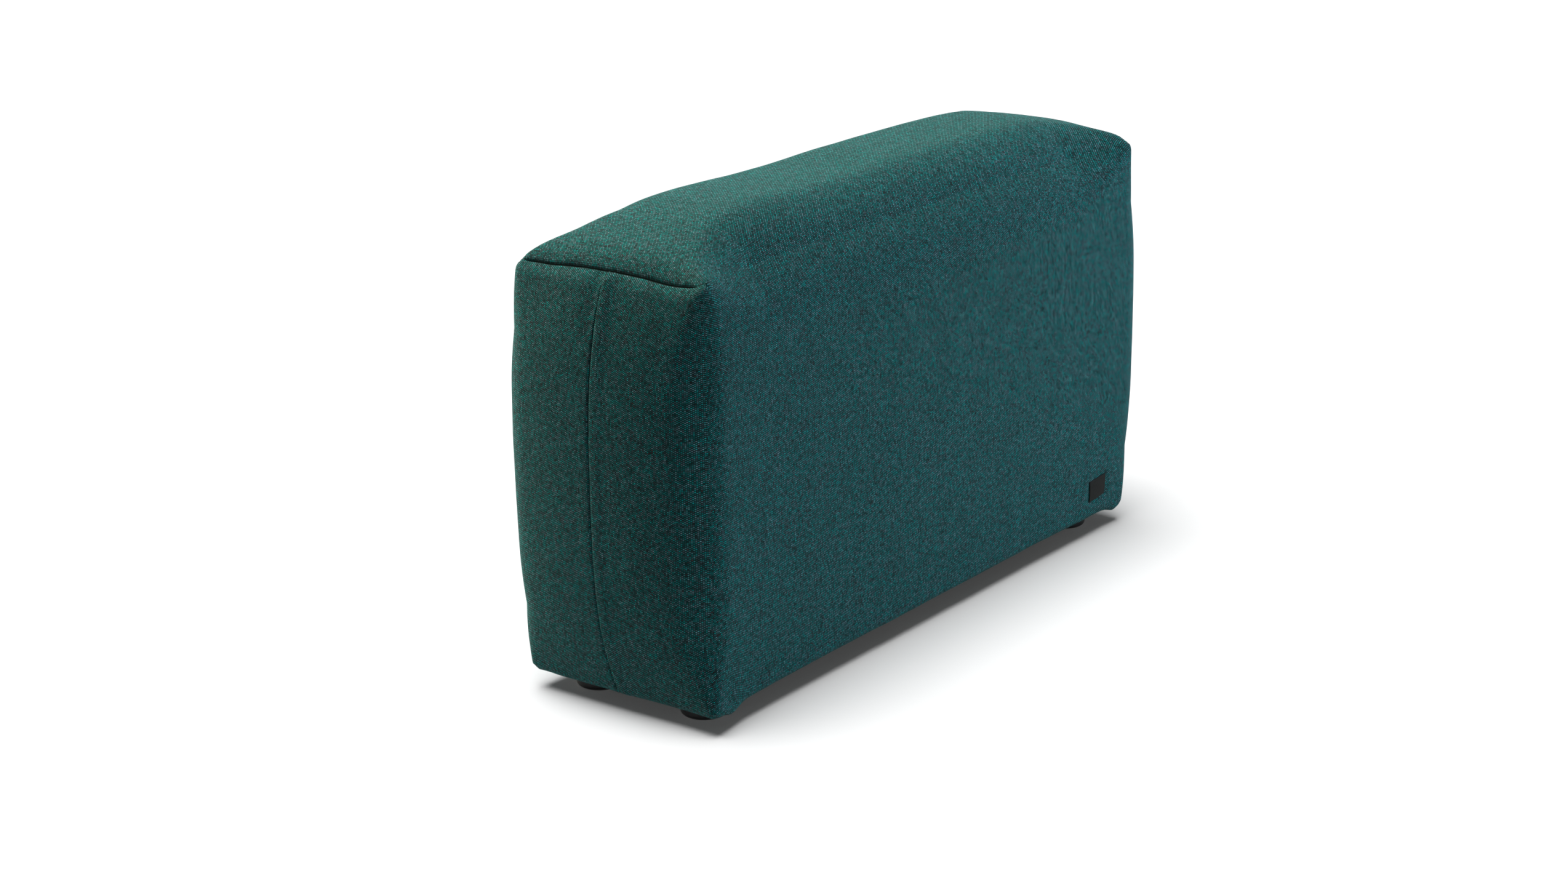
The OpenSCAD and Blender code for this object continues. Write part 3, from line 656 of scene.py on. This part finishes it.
def build_cover(context):
    scene = context.scene
    shape, sewing = scene.sofa_shape, scene.sofa_sewing
    box = CoverBox(shape)
    piece = cut_box("woven_cover", COVER_CUTS, floor=False)
    turn_under(piece, RINGS, RING_STEP)
    x, y, z = get_points(piece).T
    p = toward_ends(np.clip(x, -1, 1), CROWD_X)
    q = toward_seams(np.clip(y, -1, 1), CROWD_Y)
    s = toward_ends(np.maximum(z, -1), CROWD_Z)
    under = np.clip((-1 - z) / (RINGS * RING_STEP), 0, 1)
    inward = under * shape.flange_width
    rim = np.stack([p * (1 - inward / box.half_l), q * (1 - inward / box.half_d), s], 1)
    shares = np.stack([p, q, s - inward / shape.panel_depth], 1)
    points = box.points(rim)
    flange = shape.flange_height - shape.fabric
    points[:, 2] += (flange - points[:, 2]) * smoothstep(under) * (under > 0)
    set_points(piece, points)
    normals = get_normals(piece)
    points, crease = sew(points, normals * (1 - under)[:, None], shares, box, sewing)
    # Each point's share of the seam pull is kept on the cover for the weave's painted shade
    piece.data.attributes.new("crease", "FLOAT", "POINT").data.foreach_set("value", crease)
    set_points(piece, points)
    points = draw_in_label(
        points, get_normals(piece), scene.sofa_label, label_frame(context), sewing.label_pull
    )
    set_points(piece, points)
    lay_weave(piece, box, shares)
    apply_modifier(piece, "SOLIDIFY", "fabric", thickness=shape.fabric, offset=-1)
    smooth(piece, degrees=60)
    dress(piece, weave_material(scene.sofa_weave))
    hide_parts("cover")
    return piece


# Materials
PLY_PAIR = 0.003
SCUFF_HEIGHT = 0.010


class Tree:
    """A node tree, with short calls to add nodes and link them."""

    def __init__(self, owner):
        owner.use_nodes = True
        self.tree = owner.node_tree
        self.tree.nodes.clear()

    def put(self, socket, value):
        if isinstance(value, bpy.types.NodeSocket):
            self.tree.links.new(value, socket)
        else:
            socket.default_value = value

    def node(self, kind, inputs=(), **settings):
        node = self.tree.nodes.new("ShaderNode" + kind)
        for key, value in settings.items():
            setattr(node, key, value)
        for key, value in dict(inputs).items():
            self.put(node.inputs[key], value)
        return node

    def math(self, operation, *values):
        return self.node("Math", enumerate(values), operation=operation).outputs[0]

    def vector(self, operation, *values):
        return self.node("VectorMath", enumerate(values), operation=operation).outputs[0]

    def spread(self, value, *limits):
        """Stretch a value from a low and high limit to 0 and 1, or to two more limits."""
        return self.node("MapRange", enumerate((value, *limits)), clamp=True).outputs[0]

    def mix(self, share, a, b, blend="MIX"):
        a, b = (c if isinstance(c, bpy.types.NodeSocket) else (*c, 1) for c in (a, b))
        inputs = {0: share, 6: a, 7: b}
        return self.node("Mix", inputs, data_type="RGBA", blend_type=blend).outputs[2]

    def camera_rays(self):
        """1 for what the camera sees straight, in gloss or through glass, and 0 for other light."""
        path = self.node("LightPath").outputs
        seen = path["Is Camera Ray"]
        for other in ("Is Glossy Ray", "Is Transmission Ray"):
            seen = self.math("MAXIMUM", seen, path[other])
        return seen


class Finish(Tree):
    """A material with one shader, with calls for what its patterns are made of."""

    def __init__(self, name, roughness=0.6, metallic=0.0, specular=0.5):
        self.material = bpy.data.materials.new(name)
        super().__init__(self.material)
        inputs = {"Roughness": roughness, "Metallic": metallic, "Specular IOR Level": specular}
        self.shader = self.node("BsdfPrincipled", inputs)
        self.node("OutputMaterial", {"Surface": self.shader.outputs[0]})

    def shine(self, inputs):
        for key, value in inputs.items():
            self.put(self.shader.inputs[key], value)

    def place(self, *stretch):
        """Object coordinates, each multiplied by its stretch where these are given."""
        place = self.node("TexCoord").outputs["Object"]
        return self.vector("MULTIPLY", place, stretch) if stretch else place

    def axis(self, name, vector=None):
        vector = self.place() if vector is None else vector
        return self.node("SeparateXYZ", {"Vector": vector}).outputs[name]

    def combine(self, x, y, z=0.0):
        return self.node("CombineXYZ", {"X": x, "Y": y, "Z": z}).outputs[0]

    def noise(self, vector, scale, detail=2.0, roughness=0.5):
        inputs = {"Vector": vector, "Scale": scale, "Detail": detail, "Roughness": roughness}
        return self.node("TexNoise", inputs).outputs["Fac"]

    def cells(self, scale, output="Distance"):
        inputs = {"Vector": self.place(), "Scale": scale}
        return self.node("TexVoronoi", inputs, feature="F1").outputs[output]

    def ramp(self, value, *stops):
        node = self.node("ValToRGB", {"Fac": value})
        points = node.color_ramp.elements
        for k, (place, shade) in enumerate(stops):
            point = points[k] if k < 2 else points.new(place)
            point.position = place
            point.color = (*shade, 1)
        return node.outputs["Color"]

    def toned(self, shade, tone):
        """A shade made lighter or darker by a tone."""
        return self.mix(1.0, shade, self.combine(tone, tone, tone), "MULTIPLY")

    def done(self, base, height, strength, distance, roughness=None):
        inputs = {"Height": height, "Strength": strength, "Distance": distance}
        self.shine({"Base Color": base, "Normal": self.node("Bump", inputs).outputs[0]})
        if roughness is not None:
            self.shine({"Roughness": roughness})
        return self.material


def weave_material(weave):
    """Plain weave of melange yarns: level and upright yarns cross in turn, with painted shade in
    the gaps and where the seams pull in.
    """
    n = Finish("teal_melange_weave", roughness=0.85, specular=0.12)
    n.shine({"Sheen Weight": 0.07, "Sheen Roughness": 0.45, "Sheen Tint": (0.45, 0.95, 0.90, 1)})
    cloth = n.node("UVMap", uv_map="weave").outputs[0]
    yarns = n.vector("MULTIPLY", cloth, (1 / weave.warp_pitch, 1 / weave.weft_pitch, 0))
    u, v = n.axis("X", yarns), n.axis("Y", yarns)
    column, row = n.math("FLOOR", u), n.math("FLOOR", v)
    level_on_top = n.math("FLOORED_MODULO", n.math("ADD", column, row), 2.0)
    round_u, round_v = (
        n.math("SINE", n.math("MULTIPLY", n.math("FRACT", t), math.pi)) for t in (u, v)
    )
    dome = n.math("MULTIPLY", round_u, round_v)

    # Each yarn reads the noise slowly along its length and far from where its neighbours read it
    upright = n.combine(n.math("MULTIPLY", column, 4.13), n.math("MULTIPLY", v, 0.20), 9.0)
    level = n.combine(n.math("MULTIPLY", u, 0.15), n.math("MULTIPLY", row, 3.71), 0.0)
    greyness = n.spread(n.noise(upright, 1.0, 2.0, 0.7), 0.44, 0.60)
    melange = n.mix(greyness, weave.teal, weave.grey)
    flecks = n.noise(n.vector("ADD", upright, (31.0, 17.0, 0.0)), 1.7, 1.0)
    melange = n.mix(n.spread(flecks, 0.68, 0.72), melange, weave.brown)
    tones = 0.34, 0.66, 1.0 - weave.contrast, 1.0 + weave.contrast
    lightness = n.noise(n.vector("ADD", upright, (7.0, 5.0, 3.0)), 1.0, 2.0, 0.7)
    warp = n.toned(melange, n.spread(lightness, *tones))
    weft = n.toned(weave.weft, n.spread(n.noise(level, 1.0, 2.0, 0.7), *tones))
    crossing = n.node("TexWhiteNoise", {"Vector": n.combine(column, row)}).outputs["Value"]
    speckle = n.spread(crossing, 0.0, 1.0, 1.0 - weave.speckle, 1.0 + weave.speckle)
    shade = n.toned(n.mix(level_on_top, warp, weft), speckle)
    slubs = n.combine(n.math("MULTIPLY", column, 0.7), n.math("MULTIPLY", v, 0.010), 4.0)
    shade = n.toned(shade, n.spread(n.noise(slubs, 1.0, 1.0), 0.3, 0.7, 0.85, 1.15))
    # Painted shade deep between the yarns, where their domes are low
    shade = n.mix(n.spread(dome, 0.05, 0.55), weave.gap, shade)
    # Painted shade: the cloth darkens to the gap colour where the end seams pull it in
    crease = n.node("Attribute", attribute_name="crease").outputs["Fac"]
    shade = n.mix(n.spread(crease, 0.25, 0.70), shade, weave.gap)
    return n.done(shade, n.math("POWER", dome, 0.6), strength=0.55, distance=0.00045)


def label_material(label):
    """Black satin-woven label with faint upright ribs."""
    n = Finish("black_label_weave", roughness=0.7, specular=0.12)
    rib = n.math("SINE", n.math("MULTIPLY", n.axis("X"), 2 * math.pi / label.rib))
    thread = n.math("SINE", n.math("MULTIPLY", n.axis("Z"), 12 * math.pi / label.rib))
    height = n.math("ADD", rib, n.math("MULTIPLY", thread, 0.2))
    wear = n.noise(n.place(3.0, 1.0, 1.0), 220.0, 3.0)
    shade = n.ramp(wear, (0.35, label.tone), (0.75, tuple(3.2 * c for c in label.tone)))
    return n.done(shade, height, strength=0.12, distance=0.0001)


def cloth_material():
    """Black spunbond cloth with its bonded dots."""
    n = Finish("black_spunbond", roughness=0.85, specular=0.2)
    fibres = n.noise(n.place(1.0, 1.6, 1.0), 900.0, 2.0)
    height = n.math("SUBTRACT", fibres, n.math("MULTIPLY", n.cells(700.0), 0.5))
    shade = n.ramp(fibres, (0.3, (0.006, 0.006, 0.007)), (0.75, (0.030, 0.031, 0.034)))
    return n.done(shade, height, strength=0.5, distance=0.0003)


def wadding_material():
    n = Finish("white_wadding", roughness=0.95, specular=0.1)
    n.shine({"Sheen Weight": 0.3})
    tufts = n.noise(n.place(), 60.0, 5.0, 0.7)
    fibres = n.noise(n.place(1.0, 3.0, 3.0), 260.0, 3.0, 0.7)
    height = n.math("ADD", tufts, n.math("MULTIPLY", fibres, 0.4))
    shade = n.ramp(height, (0.4, (0.62, 0.62, 0.60)), (0.9, (0.86, 0.86, 0.84)))
    return n.done(shade, height, strength=0.8, distance=0.003)


def foam_material():
    n = Finish("cut_foam", roughness=0.9, specular=0.15)
    cells = n.cells(900.0)
    tone = n.noise(n.place(), 9.0, 3.0)
    shade = n.ramp(tone, (0.3, (0.78, 0.70, 0.45)), (0.7, (0.86, 0.79, 0.55)))
    shade = n.mix(n.spread(cells, 0.25, 0.75, 0.0, 0.35), shade, (0.50, 0.43, 0.25))
    return n.done(shade, cells, strength=0.6, distance=0.0006)


def plywood_material():
    n = Finish("birch_plywood", roughness=0.55, specular=0.4)
    grain = n.noise(n.place(3.0, 60.0, 3.0), 6.0, 6.0, 0.65)
    ply = n.math("SINE", n.math("MULTIPLY", n.axis("Z"), 2 * math.pi / PLY_PAIR))
    shade = n.ramp(
        grain, (0.3, (0.50, 0.34, 0.19)), (0.55, (0.66, 0.48, 0.29)), (0.8, (0.72, 0.55, 0.36))
    )
    shade = n.mix(n.spread(ply, -1.0, 1.0, 0.0, 0.18), shade, (0.38, 0.25, 0.13))
    rough = n.spread(grain, 0.3, 0.8, 0.5, 0.68)
    return n.done(shade, grain, strength=0.2, distance=0.0006, roughness=rough)


def hardboard_material():
    n = Finish("brown_hardboard", roughness=0.5, specular=0.4)
    fibres = n.noise(n.place(1.0, 1.0, 2.5), 240.0, 4.0, 0.7)
    shade = n.ramp(fibres, (0.35, (0.16, 0.085, 0.045)), (0.7, (0.27, 0.155, 0.085)))
    return n.done(shade, fibres, strength=0.25, distance=0.0004)


def plastic_material():
    """Black moulded plastic, finely eroded, a little scuffed near the floor."""
    n = Finish("black_moulded_plastic", roughness=0.45, specular=0.5)
    grain = n.noise(n.place(), 1500.0, 2.0)
    scuffs = n.noise(n.place(1.0, 1.0, 5.0), 90.0, 5.0, 0.7)
    low = n.spread(n.axis("Z"), 0.0, SCUFF_HEIGHT, 1.0, 0.0)
    worn = n.math("MULTIPLY", n.spread(scuffs, 0.55, 0.75), low)
    shade = n.mix(worn, (0.010, 0.010, 0.011), (0.075, 0.073, 0.070))
    rough = n.spread(scuffs, 0.3, 0.7, 0.36, 0.52)
    return n.done(shade, grain, strength=0.2, distance=0.0002, roughness=rough)


def steel_material():
    """Zinc-plated steel with a faint spangle and fine brushing."""
    n = Finish("zinc_steel", roughness=0.35, metallic=1.0)
    tone = n.node("SeparateColor", {"Color": n.cells(160.0, "Color")}).outputs[0]
    brush = n.noise(n.place(1.0, 12.0, 12.0), 180.0, 3.0)
    shade = n.ramp(tone, (0.0, (0.46, 0.46, 0.45)), (1.0, (0.60, 0.60, 0.59)))
    rough = n.spread(brush, 0.3, 0.7, 0.26, 0.46)
    return n.done(shade, brush, strength=0.12, distance=0.0002, roughness=rough)


def tape_material():
    """Black hook and loop tape with its rows of loops."""
    n = Finish("black_tape", roughness=0.8, specular=0.2)
    loops = n.cells(800.0)
    shade = n.ramp(loops, (0.1, (0.020, 0.020, 0.022)), (0.7, (0.005, 0.005, 0.006)))
    return n.done(shade, n.math("SUBTRACT", 1.0, loops), strength=0.8, distance=0.0005)


CORNERS = ("front_left", "front_right", "back_left", "back_right")
STUDS = tuple("stud_" + corner for corner in CORNERS)
BOARDS = ("base_board", "left_end_board", "right_end_board", "centre_rib", "top_board")
FASTENERS = ("foot_t_nuts", "frame_screws", "panel_staples", "underside_staples")
LINKS = ("link_left", "link_right", "link_bolts", "link_spacers", "link_t_nuts", "keeper_pins")
CAD_FINISHES = (
    (plywood_material, (*BOARDS, "corner_blocks")),
    (hardboard_material, ("front_panel", "back_panel")),
    (plastic_material, tuple("foot_" + corner for corner in CORNERS)),
    (steel_material, (*STUDS, *FASTENERS, *LINKS)),
    (tape_material, ("hook_tape", "loop_tape")),
)


def finish_rigid_parts():
    for make, names in CAD_FINISHES:
        material = make()
        for name in names:
            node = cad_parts[name]
            if not node.data.materials:
                node.data.materials.append(material)
            for k in range(len(node.data.materials)):
                node.data.materials[k] = material


# The bare label
LABEL_FIELDS = (28, 22)
LABEL_LIE = 0.0002
LABEL_TOUCH = 70
LABEL_EDGE = 0.00035
RAY_START = 0.1


def build_label(context, cover):
    label = context.scene.sofa_label
    middle, right, up = label_frame(context)
    deselect()
    columns, rows = LABEL_FIELDS
    bpy.ops.mesh.primitive_grid_add(x_subdivisions=columns, y_subdivisions=rows, size=2)
    piece = bpy.context.object
    piece.name = "bare_label"
    shares = get_points(piece)
    points = []
    for x, y, _ in shares:
        place = middle + right * (x * label.width / 2) + up * (y * label.height / 2)
        start = Vector((place.x, middle.y - RAY_START, place.z))
        hit, point, _, _ = cover.ray_cast(start, Vector((0, 1, 0)))
        if not hit:
            raise RuntimeError("the label doesn't lie over the cover")
        points.append(point)
    points = np.array(points)
    points[:, 1] = smooth_level(points, shares) - LABEL_LIE
    set_points(piece, points)
    if get_normals(piece)[:, 1].mean() > 0:
        piece.data.flip_normals()
    apply_modifier(piece, "SOLIDIFY", "folded", thickness=label.thickness, offset=1)
    apply_modifier(piece, "BEVEL", "edge", width=LABEL_EDGE, segments=3, limit_method="ANGLE")
    smooth(piece, degrees=50)
    dress(piece, label_material(label))
    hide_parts("label_patch")
    return piece


def smooth_level(points, shares):
    """The label's own gentle curve: a second-degree sheet through the cover's points under it."""
    x, y = shares[:, 0], shares[:, 1]
    terms = np.stack([np.ones_like(x), x, y, x * x, x * y, y * y], 1)
    fit, *_ = np.linalg.lstsq(terms, points[:, 1], rcond=None)
    level = terms @ fit
    return level - np.percentile(level - points[:, 1], LABEL_TOUCH)


# Padding under the cover
SKIN_CROWD = (0.38, 0.3, 0.3)
WADDING_CUTS, FOAM_CUTS = (72, 31, 40), (72, 32, 40)
SEAM_PRESS, SEAM_PRESS_SHARE = 0.0025, 1.25
ROUND_OFF = 1e-7


def block_above(name, shape, depth, floor, cuts, sewing=None):
    """The cover's form some depth inside it, closed by a level underside at floor."""
    box = CoverBox(shape, depth)
    piece = cut_box(name, cuts, floor=True)
    low = (floor - box.middle) / box.half_h
    raw = get_points(piece)
    shares = np.stack([toward_ends(raw[:, k], SKIN_CROWD[k]) for k in range(3)], 1)
    shares[:, 2] = low + (1 - low) * (shares[:, 2] + 1) / 2
    underside = shares[:, 2] <= low + ROUND_OFF
    points = box.points(shares)
    points[:, 2] = np.where(underside, floor, points[:, 2])
    set_points(piece, points)
    if sewing:
        press = SEAM_PRESS + SEAM_PRESS_SHARE * seam_pull(shares, box, sewing)[0]
        press = np.where(underside, 0, press)
        set_points(piece, points - get_normals(piece) * press[:, None])
    return piece


def cut_away(piece, place, normal):
    """Cut off what lies on the side of a plane that its normal points to, and close the cut."""
    choose(piece)
    bpy.ops.object.mode_set(mode="EDIT")
    bpy.ops.mesh.select_all(action="SELECT")
    bpy.ops.mesh.bisect(plane_co=place, plane_no=normal, use_fill=True, clear_outer=True)
    bpy.ops.object.mode_set(mode="OBJECT")


def build_wadding(context):
    """A shell between two skins: their undersides are taken off and their lower rims joined."""
    scene = context.scene
    shape, padding = scene.sofa_shape, scene.sofa_padding
    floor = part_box("wadding_wrap")[0].z
    depth = shape.fabric + padding.gap
    piece = block_above("wadding_layer", shape, depth, floor, WADDING_CUTS, scene.sofa_sewing)
    core = block_above("wadding_core", shape, depth + padding.wadding, floor, WADDING_CUTS)

    def on_floor(face):
        return all(abs(v.co.z - floor) < ROUND_OFF for v in face.verts)

    for part in (piece, core):
        choose(part)
        select_where(part, "FACE", on_floor)
        bpy.ops.mesh.delete(type="FACE")
        bpy.ops.object.mode_set(mode="OBJECT")
    core.data.flip_normals()
    choose(piece)
    core.select_set(True)
    bpy.ops.object.join()
    select_where(piece, "EDGE", lambda edge: edge.is_boundary)
    bpy.ops.mesh.bridge_edge_loops()
    bpy.ops.object.mode_set(mode="OBJECT")
    smooth(piece, degrees=40)
    dress(piece, wadding_material())
    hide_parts("wadding_wrap")


# Planes that cut each foam pad: an axis, and 0 for the low side of its box or 1 for the high side
FOAM_PLANES = {
    "top_foam": (("z", 0),),
    "front_foam": (("z", 1), ("y", 1)),
    "back_foam": (("z", 1), ("y", 0)),
    "left_end_foam": (("z", 1), ("y", 0), ("y", 1), ("x", 1)),
    "right_end_foam": (("z", 1), ("y", 0), ("y", 1), ("x", 0)),
}
FOAM_EDGE = {"width": 0.0012, "segments": 2, "angle_limit": math.radians(60)}


def build_foam(context):
    shape, padding = context.scene.sofa_shape, context.scene.sofa_padding
    depth = shape.fabric + 2 * padding.gap + padding.wadding
    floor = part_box("wadding_wrap")[0].z
    material = foam_material()
    for name, planes in FOAM_PLANES.items():
        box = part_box(name)
        piece = block_above(name + "_pad", shape, depth, floor, FOAM_CUTS)
        for axis, which in planes:
            k = "xyz".index(axis)
            place, normal = [0, 0, 0], [0, 0, 0]
            place[k] = box[which][k]
            normal[k] = 1 if which else -1
            cut_away(piece, place, normal)
        apply_modifier(piece, "BEVEL", "edges", limit_method="ANGLE", **FOAM_EDGE)
        smooth(piece, degrees=40)
        dress(piece, material)
        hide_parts(name)


# Cloth under the base
CLOTH_FIELDS = (180, 52)
CLOTH_SHARE = 0.9
CLOTH_RIPPLE, CLOTH_SEED = 0.06, 2.0
STAPLE_REACH = 0.02
HOLE_SIDES, HOLE_DEPTH = 48, 0.02
STUD_ROOM, RING_ROOM = 0.0016, 0.0003
RING_REACH = 0.06


def build_underside(context):
    low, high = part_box("underside_cloth")
    middle, size = (low + high) / 2, high - low
    deselect()
    columns, rows = CLOTH_FIELDS
    bpy.ops.mesh.primitive_grid_add(x_subdivisions=columns, y_subdivisions=rows, size=1)
    piece = bpy.context.object
    piece.name = "underside_sheet"
    points = get_points(piece)
    points[:, 0] = middle.x + points[:, 0] * size.x
    points[:, 1] = middle.y + points[:, 1] * size.y
    from_edge = np.minimum(size.x / 2 - np.abs(points[:, 0]), size.y / 2 - np.abs(points[:, 1]))
    sag = context.scene.sofa_padding.cloth_sag
    ripple = 0.5 + 0.5 * wave(points * np.array([1, 1, 0]), CLOTH_RIPPLE, CLOTH_SEED)
    points[:, 2] = high.z - sag * smoothstep(from_edge / STAPLE_REACH) * ripple
    set_points(piece, points)
    holes = []
    for name in STUDS:
        a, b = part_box(name)
        holes.append(((a + b) / 2, (b.x - a.x) / 2 + STUD_ROOM))
    for name in ("link_spacers", "keeper_pins"):
        holes += ring_places(name)
    for place, radius in holes:
        deselect()
        spot = (place.x, place.y, high.z)
        bpy.ops.mesh.primitive_cylinder_add(
            vertices=HOLE_SIDES, radius=radius, depth=HOLE_DEPTH, location=spot
        )
        cutter = bpy.context.object
        apply_modifier(
            piece, "BOOLEAN", "hole", operation="DIFFERENCE", object=cutter, solver="EXACT"
        )
        bpy.data.objects.remove(cutter)
    apply_modifier(piece, "SOLIDIFY", "cloth", thickness=size.z * CLOTH_SHARE, offset=-1)
    smooth(piece, degrees=40)
    dress(piece, cloth_material())
    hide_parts("underside_cloth")


def ring_places(name):
    """Middles and radii of the round solids that make up a node, from its separate pieces."""
    points = get_points(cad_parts[name])[:, :2]
    left = np.ones(len(points), bool)
    places = []
    while left.any():
        near = left & (np.hypot(*(points - points[left][0]).T) < RING_REACH)
        low, high = points[near].min(0), points[near].max(0)
        places.append((Vector((*(low + high) / 2, 0)), (high - low)[0] / 2 + RING_ROOM))
        left &= ~near
    return places


# Studio
LAMP_TARGET = Vector((0, 0, 0.3))
FLOOR_SIZE = 60
# Each lamp: what its settings' names start with, its own name and the setting of its colour
LAMPS = (
    ("key", "key_softbox", "key_tint"),
    ("back", "back_lamp", "back_tint"),
    ("side", "side_softbox", "fill_tint"),
    ("front", "front_lamp", "fill_tint"),
    ("top", "floor_lamp", None),
)


def view_axes(azimuth, elevation):
    """Right, up and back of something that looks at the object from a direction."""
    level = math.cos(elevation)
    back = Vector((math.sin(azimuth) * level, -math.cos(azimuth) * level, math.sin(elevation)))
    right = Vector((math.cos(azimuth), math.sin(azimuth), 0))
    return right, back.cross(right), back


def add_to_scene(name, data, place, axes):
    thing = bpy.data.objects.new(name, data)
    bpy.context.scene.collection.objects.link(thing)
    thing.matrix_world = Matrix.Translation(place) @ Matrix(axes).transposed().to_4x4()
    return thing


def add_camera(studio):
    right, up, back = view_axes(studio.azimuth, studio.elevation)
    c, s = math.cos(studio.roll), math.sin(studio.roll)
    right, up = right * c + up * s, up * c - right * s
    data = bpy.data.cameras.new("product_camera")
    data.sensor_fit = "HORIZONTAL"
    data.lens = studio.focal_share * data.sensor_width
    data.clip_end = 100
    target = Vector((0, 0, studio.target_height)) + right * studio.target_right
    target += up * studio.target_up
    place = target + back * studio.distance
    bpy.context.scene.camera = add_to_scene("product_camera", data, place, (right, up, back))


def add_lamp(studio, kind, name, tint):
    """A lamp that shines from a direction: a square softbox if it has a distance, else far away.

    Strength is the brightness of a white surface that faces the lamp at the object's middle.
    """

    def setting(key):
        return getattr(studio, kind + "_" + key)

    distance = getattr(studio, kind + "_distance", 0)
    data = bpy.data.lights.new(name, "AREA" if distance else "SUN")
    if distance:
        data.size = setting("width")
        data.energy = setting("strength") * (math.pi * distance) ** 2
    else:
        data.angle = setting("softness")
        data.energy = setting("strength") * math.pi
    if tint:
        data.color = getattr(studio, tint)
    axes = view_axes(setting("azimuth"), setting("elevation"))
    lamp = add_to_scene(name, data, LAMP_TARGET + axes[2] * distance, axes)
    lamp.visible_camera = False
    return lamp


def light_only(lamp, floor, floor_only):
    """Let a lamp light only the floor, or everything but the floor."""
    group = bpy.data.collections.new(lamp.name + "_reach")
    group.objects.link(floor)
    lamp.light_linking.receiver_collection = group
    state = "INCLUDE" if floor_only else "EXCLUDE"
    group.collection_objects[0].light_linking.link_state = state


def studio_world(studio):
    """White for the camera, and a faint even light for the object."""
    world = bpy.data.worlds.new("studio")
    n = Tree(world)
    level = n.spread(n.camera_rays(), 0.0, 1.0, studio.sky, 1.0)
    background = n.node("Background", {"Color": (1, 1, 1, 1), "Strength": level})
    n.node("OutputWorld", {"Surface": background.outputs[0]})
    return world


def floor_material(studio):
    """Pale for the camera, and darker for the light that it throws back on the object."""
    material = bpy.data.materials.new("pale_floor")
    n = Tree(material)
    seen = n.camera_rays()
    shade = n.mix(seen, [studio.floor_bounce] * 3, [studio.floor_shade] * 3)
    diffuse = n.node("BsdfDiffuse", {"Color": shade})
    glow = n.node("Emission", {"Strength": n.math("MULTIPLY", seen, studio.floor_glow)})
    both = n.node("AddShader", {0: diffuse.outputs[0], 1: glow.outputs[0]})
    n.node("OutputMaterial", {"Surface": both.outputs[0]})
    return material


def build_studio(context):
    scene, studio = context.scene, context.scene.sofa_studio
    add_camera(studio)
    scene.world = studio_world(studio)
    deselect()
    bpy.ops.mesh.primitive_plane_add(size=FLOOR_SIZE)
    floor = bpy.context.object
    floor.name = "studio_floor"
    floor.data.materials.append(floor_material(studio))
    for kind, name, tint in LAMPS:
        light_only(add_lamp(studio, kind, name, tint), floor, floor_only=kind == "top")
    scene.view_settings.view_transform = "Standard"


# Operators
class SofaCover(bpy.types.Operator):
    """Build the woven cover with its seams and turned hem, and the label on it"""

    bl_idname = "sofa.cover"
    bl_label = "Cover and label"

    def execute(self, context):
        build_label(context, build_cover(context))
        return {"FINISHED"}


class SofaPadding(bpy.types.Operator):
    """Build the wadding and the foam pads under the cover"""

    bl_idname = "sofa.padding"
    bl_label = "Wadding and foam"

    def execute(self, context):
        build_wadding(context)
        build_foam(context)
        return {"FINISHED"}


class SofaUnderside(bpy.types.Operator):
    """Build the cloth that closes the underside"""

    bl_idname = "sofa.underside"
    bl_label = "Underside cloth"

    def execute(self, context):
        build_underside(context)
        return {"FINISHED"}


class SofaRigidParts(bpy.types.Operator):
    """Give the frame, feet, links and fasteners their finishes"""

    bl_idname = "sofa.rigid_parts"
    bl_label = "Frame, feet and hardware"

    def execute(self, context):
        finish_rigid_parts()
        return {"FINISHED"}


class SofaStudio(bpy.types.Operator):
    """Set up the camera, the lamps and the pale floor"""

    bl_idname = "sofa.studio"
    bl_label = "Studio"

    def execute(self, context):
        build_studio(context)
        return {"FINISHED"}


class SofaPanel(bpy.types.Panel):
    """Steps and sizes of the sofa element in the sidebar."""

    bl_idname = "VIEW3D_PT_sofa"
    bl_label = "Sofa Side Element"
    bl_space_type = "VIEW_3D"
    bl_region_type = "UI"
    bl_category = "Sofa"

    def draw(self, context):
        for step in STEPS:
            self.layout.operator(step.bl_idname)
        for name, group in GROUPS.items():
            box = self.layout.box()
            box.label(text=group.__doc__)
            for key in group.__annotations__:
                box.prop(getattr(context.scene, name), key)


STEPS = (SofaCover, SofaPadding, SofaUnderside, SofaRigidParts, SofaStudio)


def register():
    for group in GROUPS.values():
        bpy.utils.register_class(group)
    for name, group in GROUPS.items():
        setattr(bpy.types.Scene, name, bpy.props.PointerProperty(type=group))
    for step in (*STEPS, SofaPanel):
        bpy.utils.register_class(step)


def unregister():
    for step in (*STEPS, SofaPanel):
        bpy.utils.unregister_class(step)
    for name, group in GROUPS.items():
        delattr(bpy.types.Scene, name)
        bpy.utils.unregister_class(group)


def main():
    register()
    bpy.ops.sofa.cover()
    bpy.ops.sofa.padding()
    bpy.ops.sofa.underside()
    bpy.ops.sofa.rigid_parts()
    bpy.ops.sofa.studio()


if __name__ == "__main__":
    main()
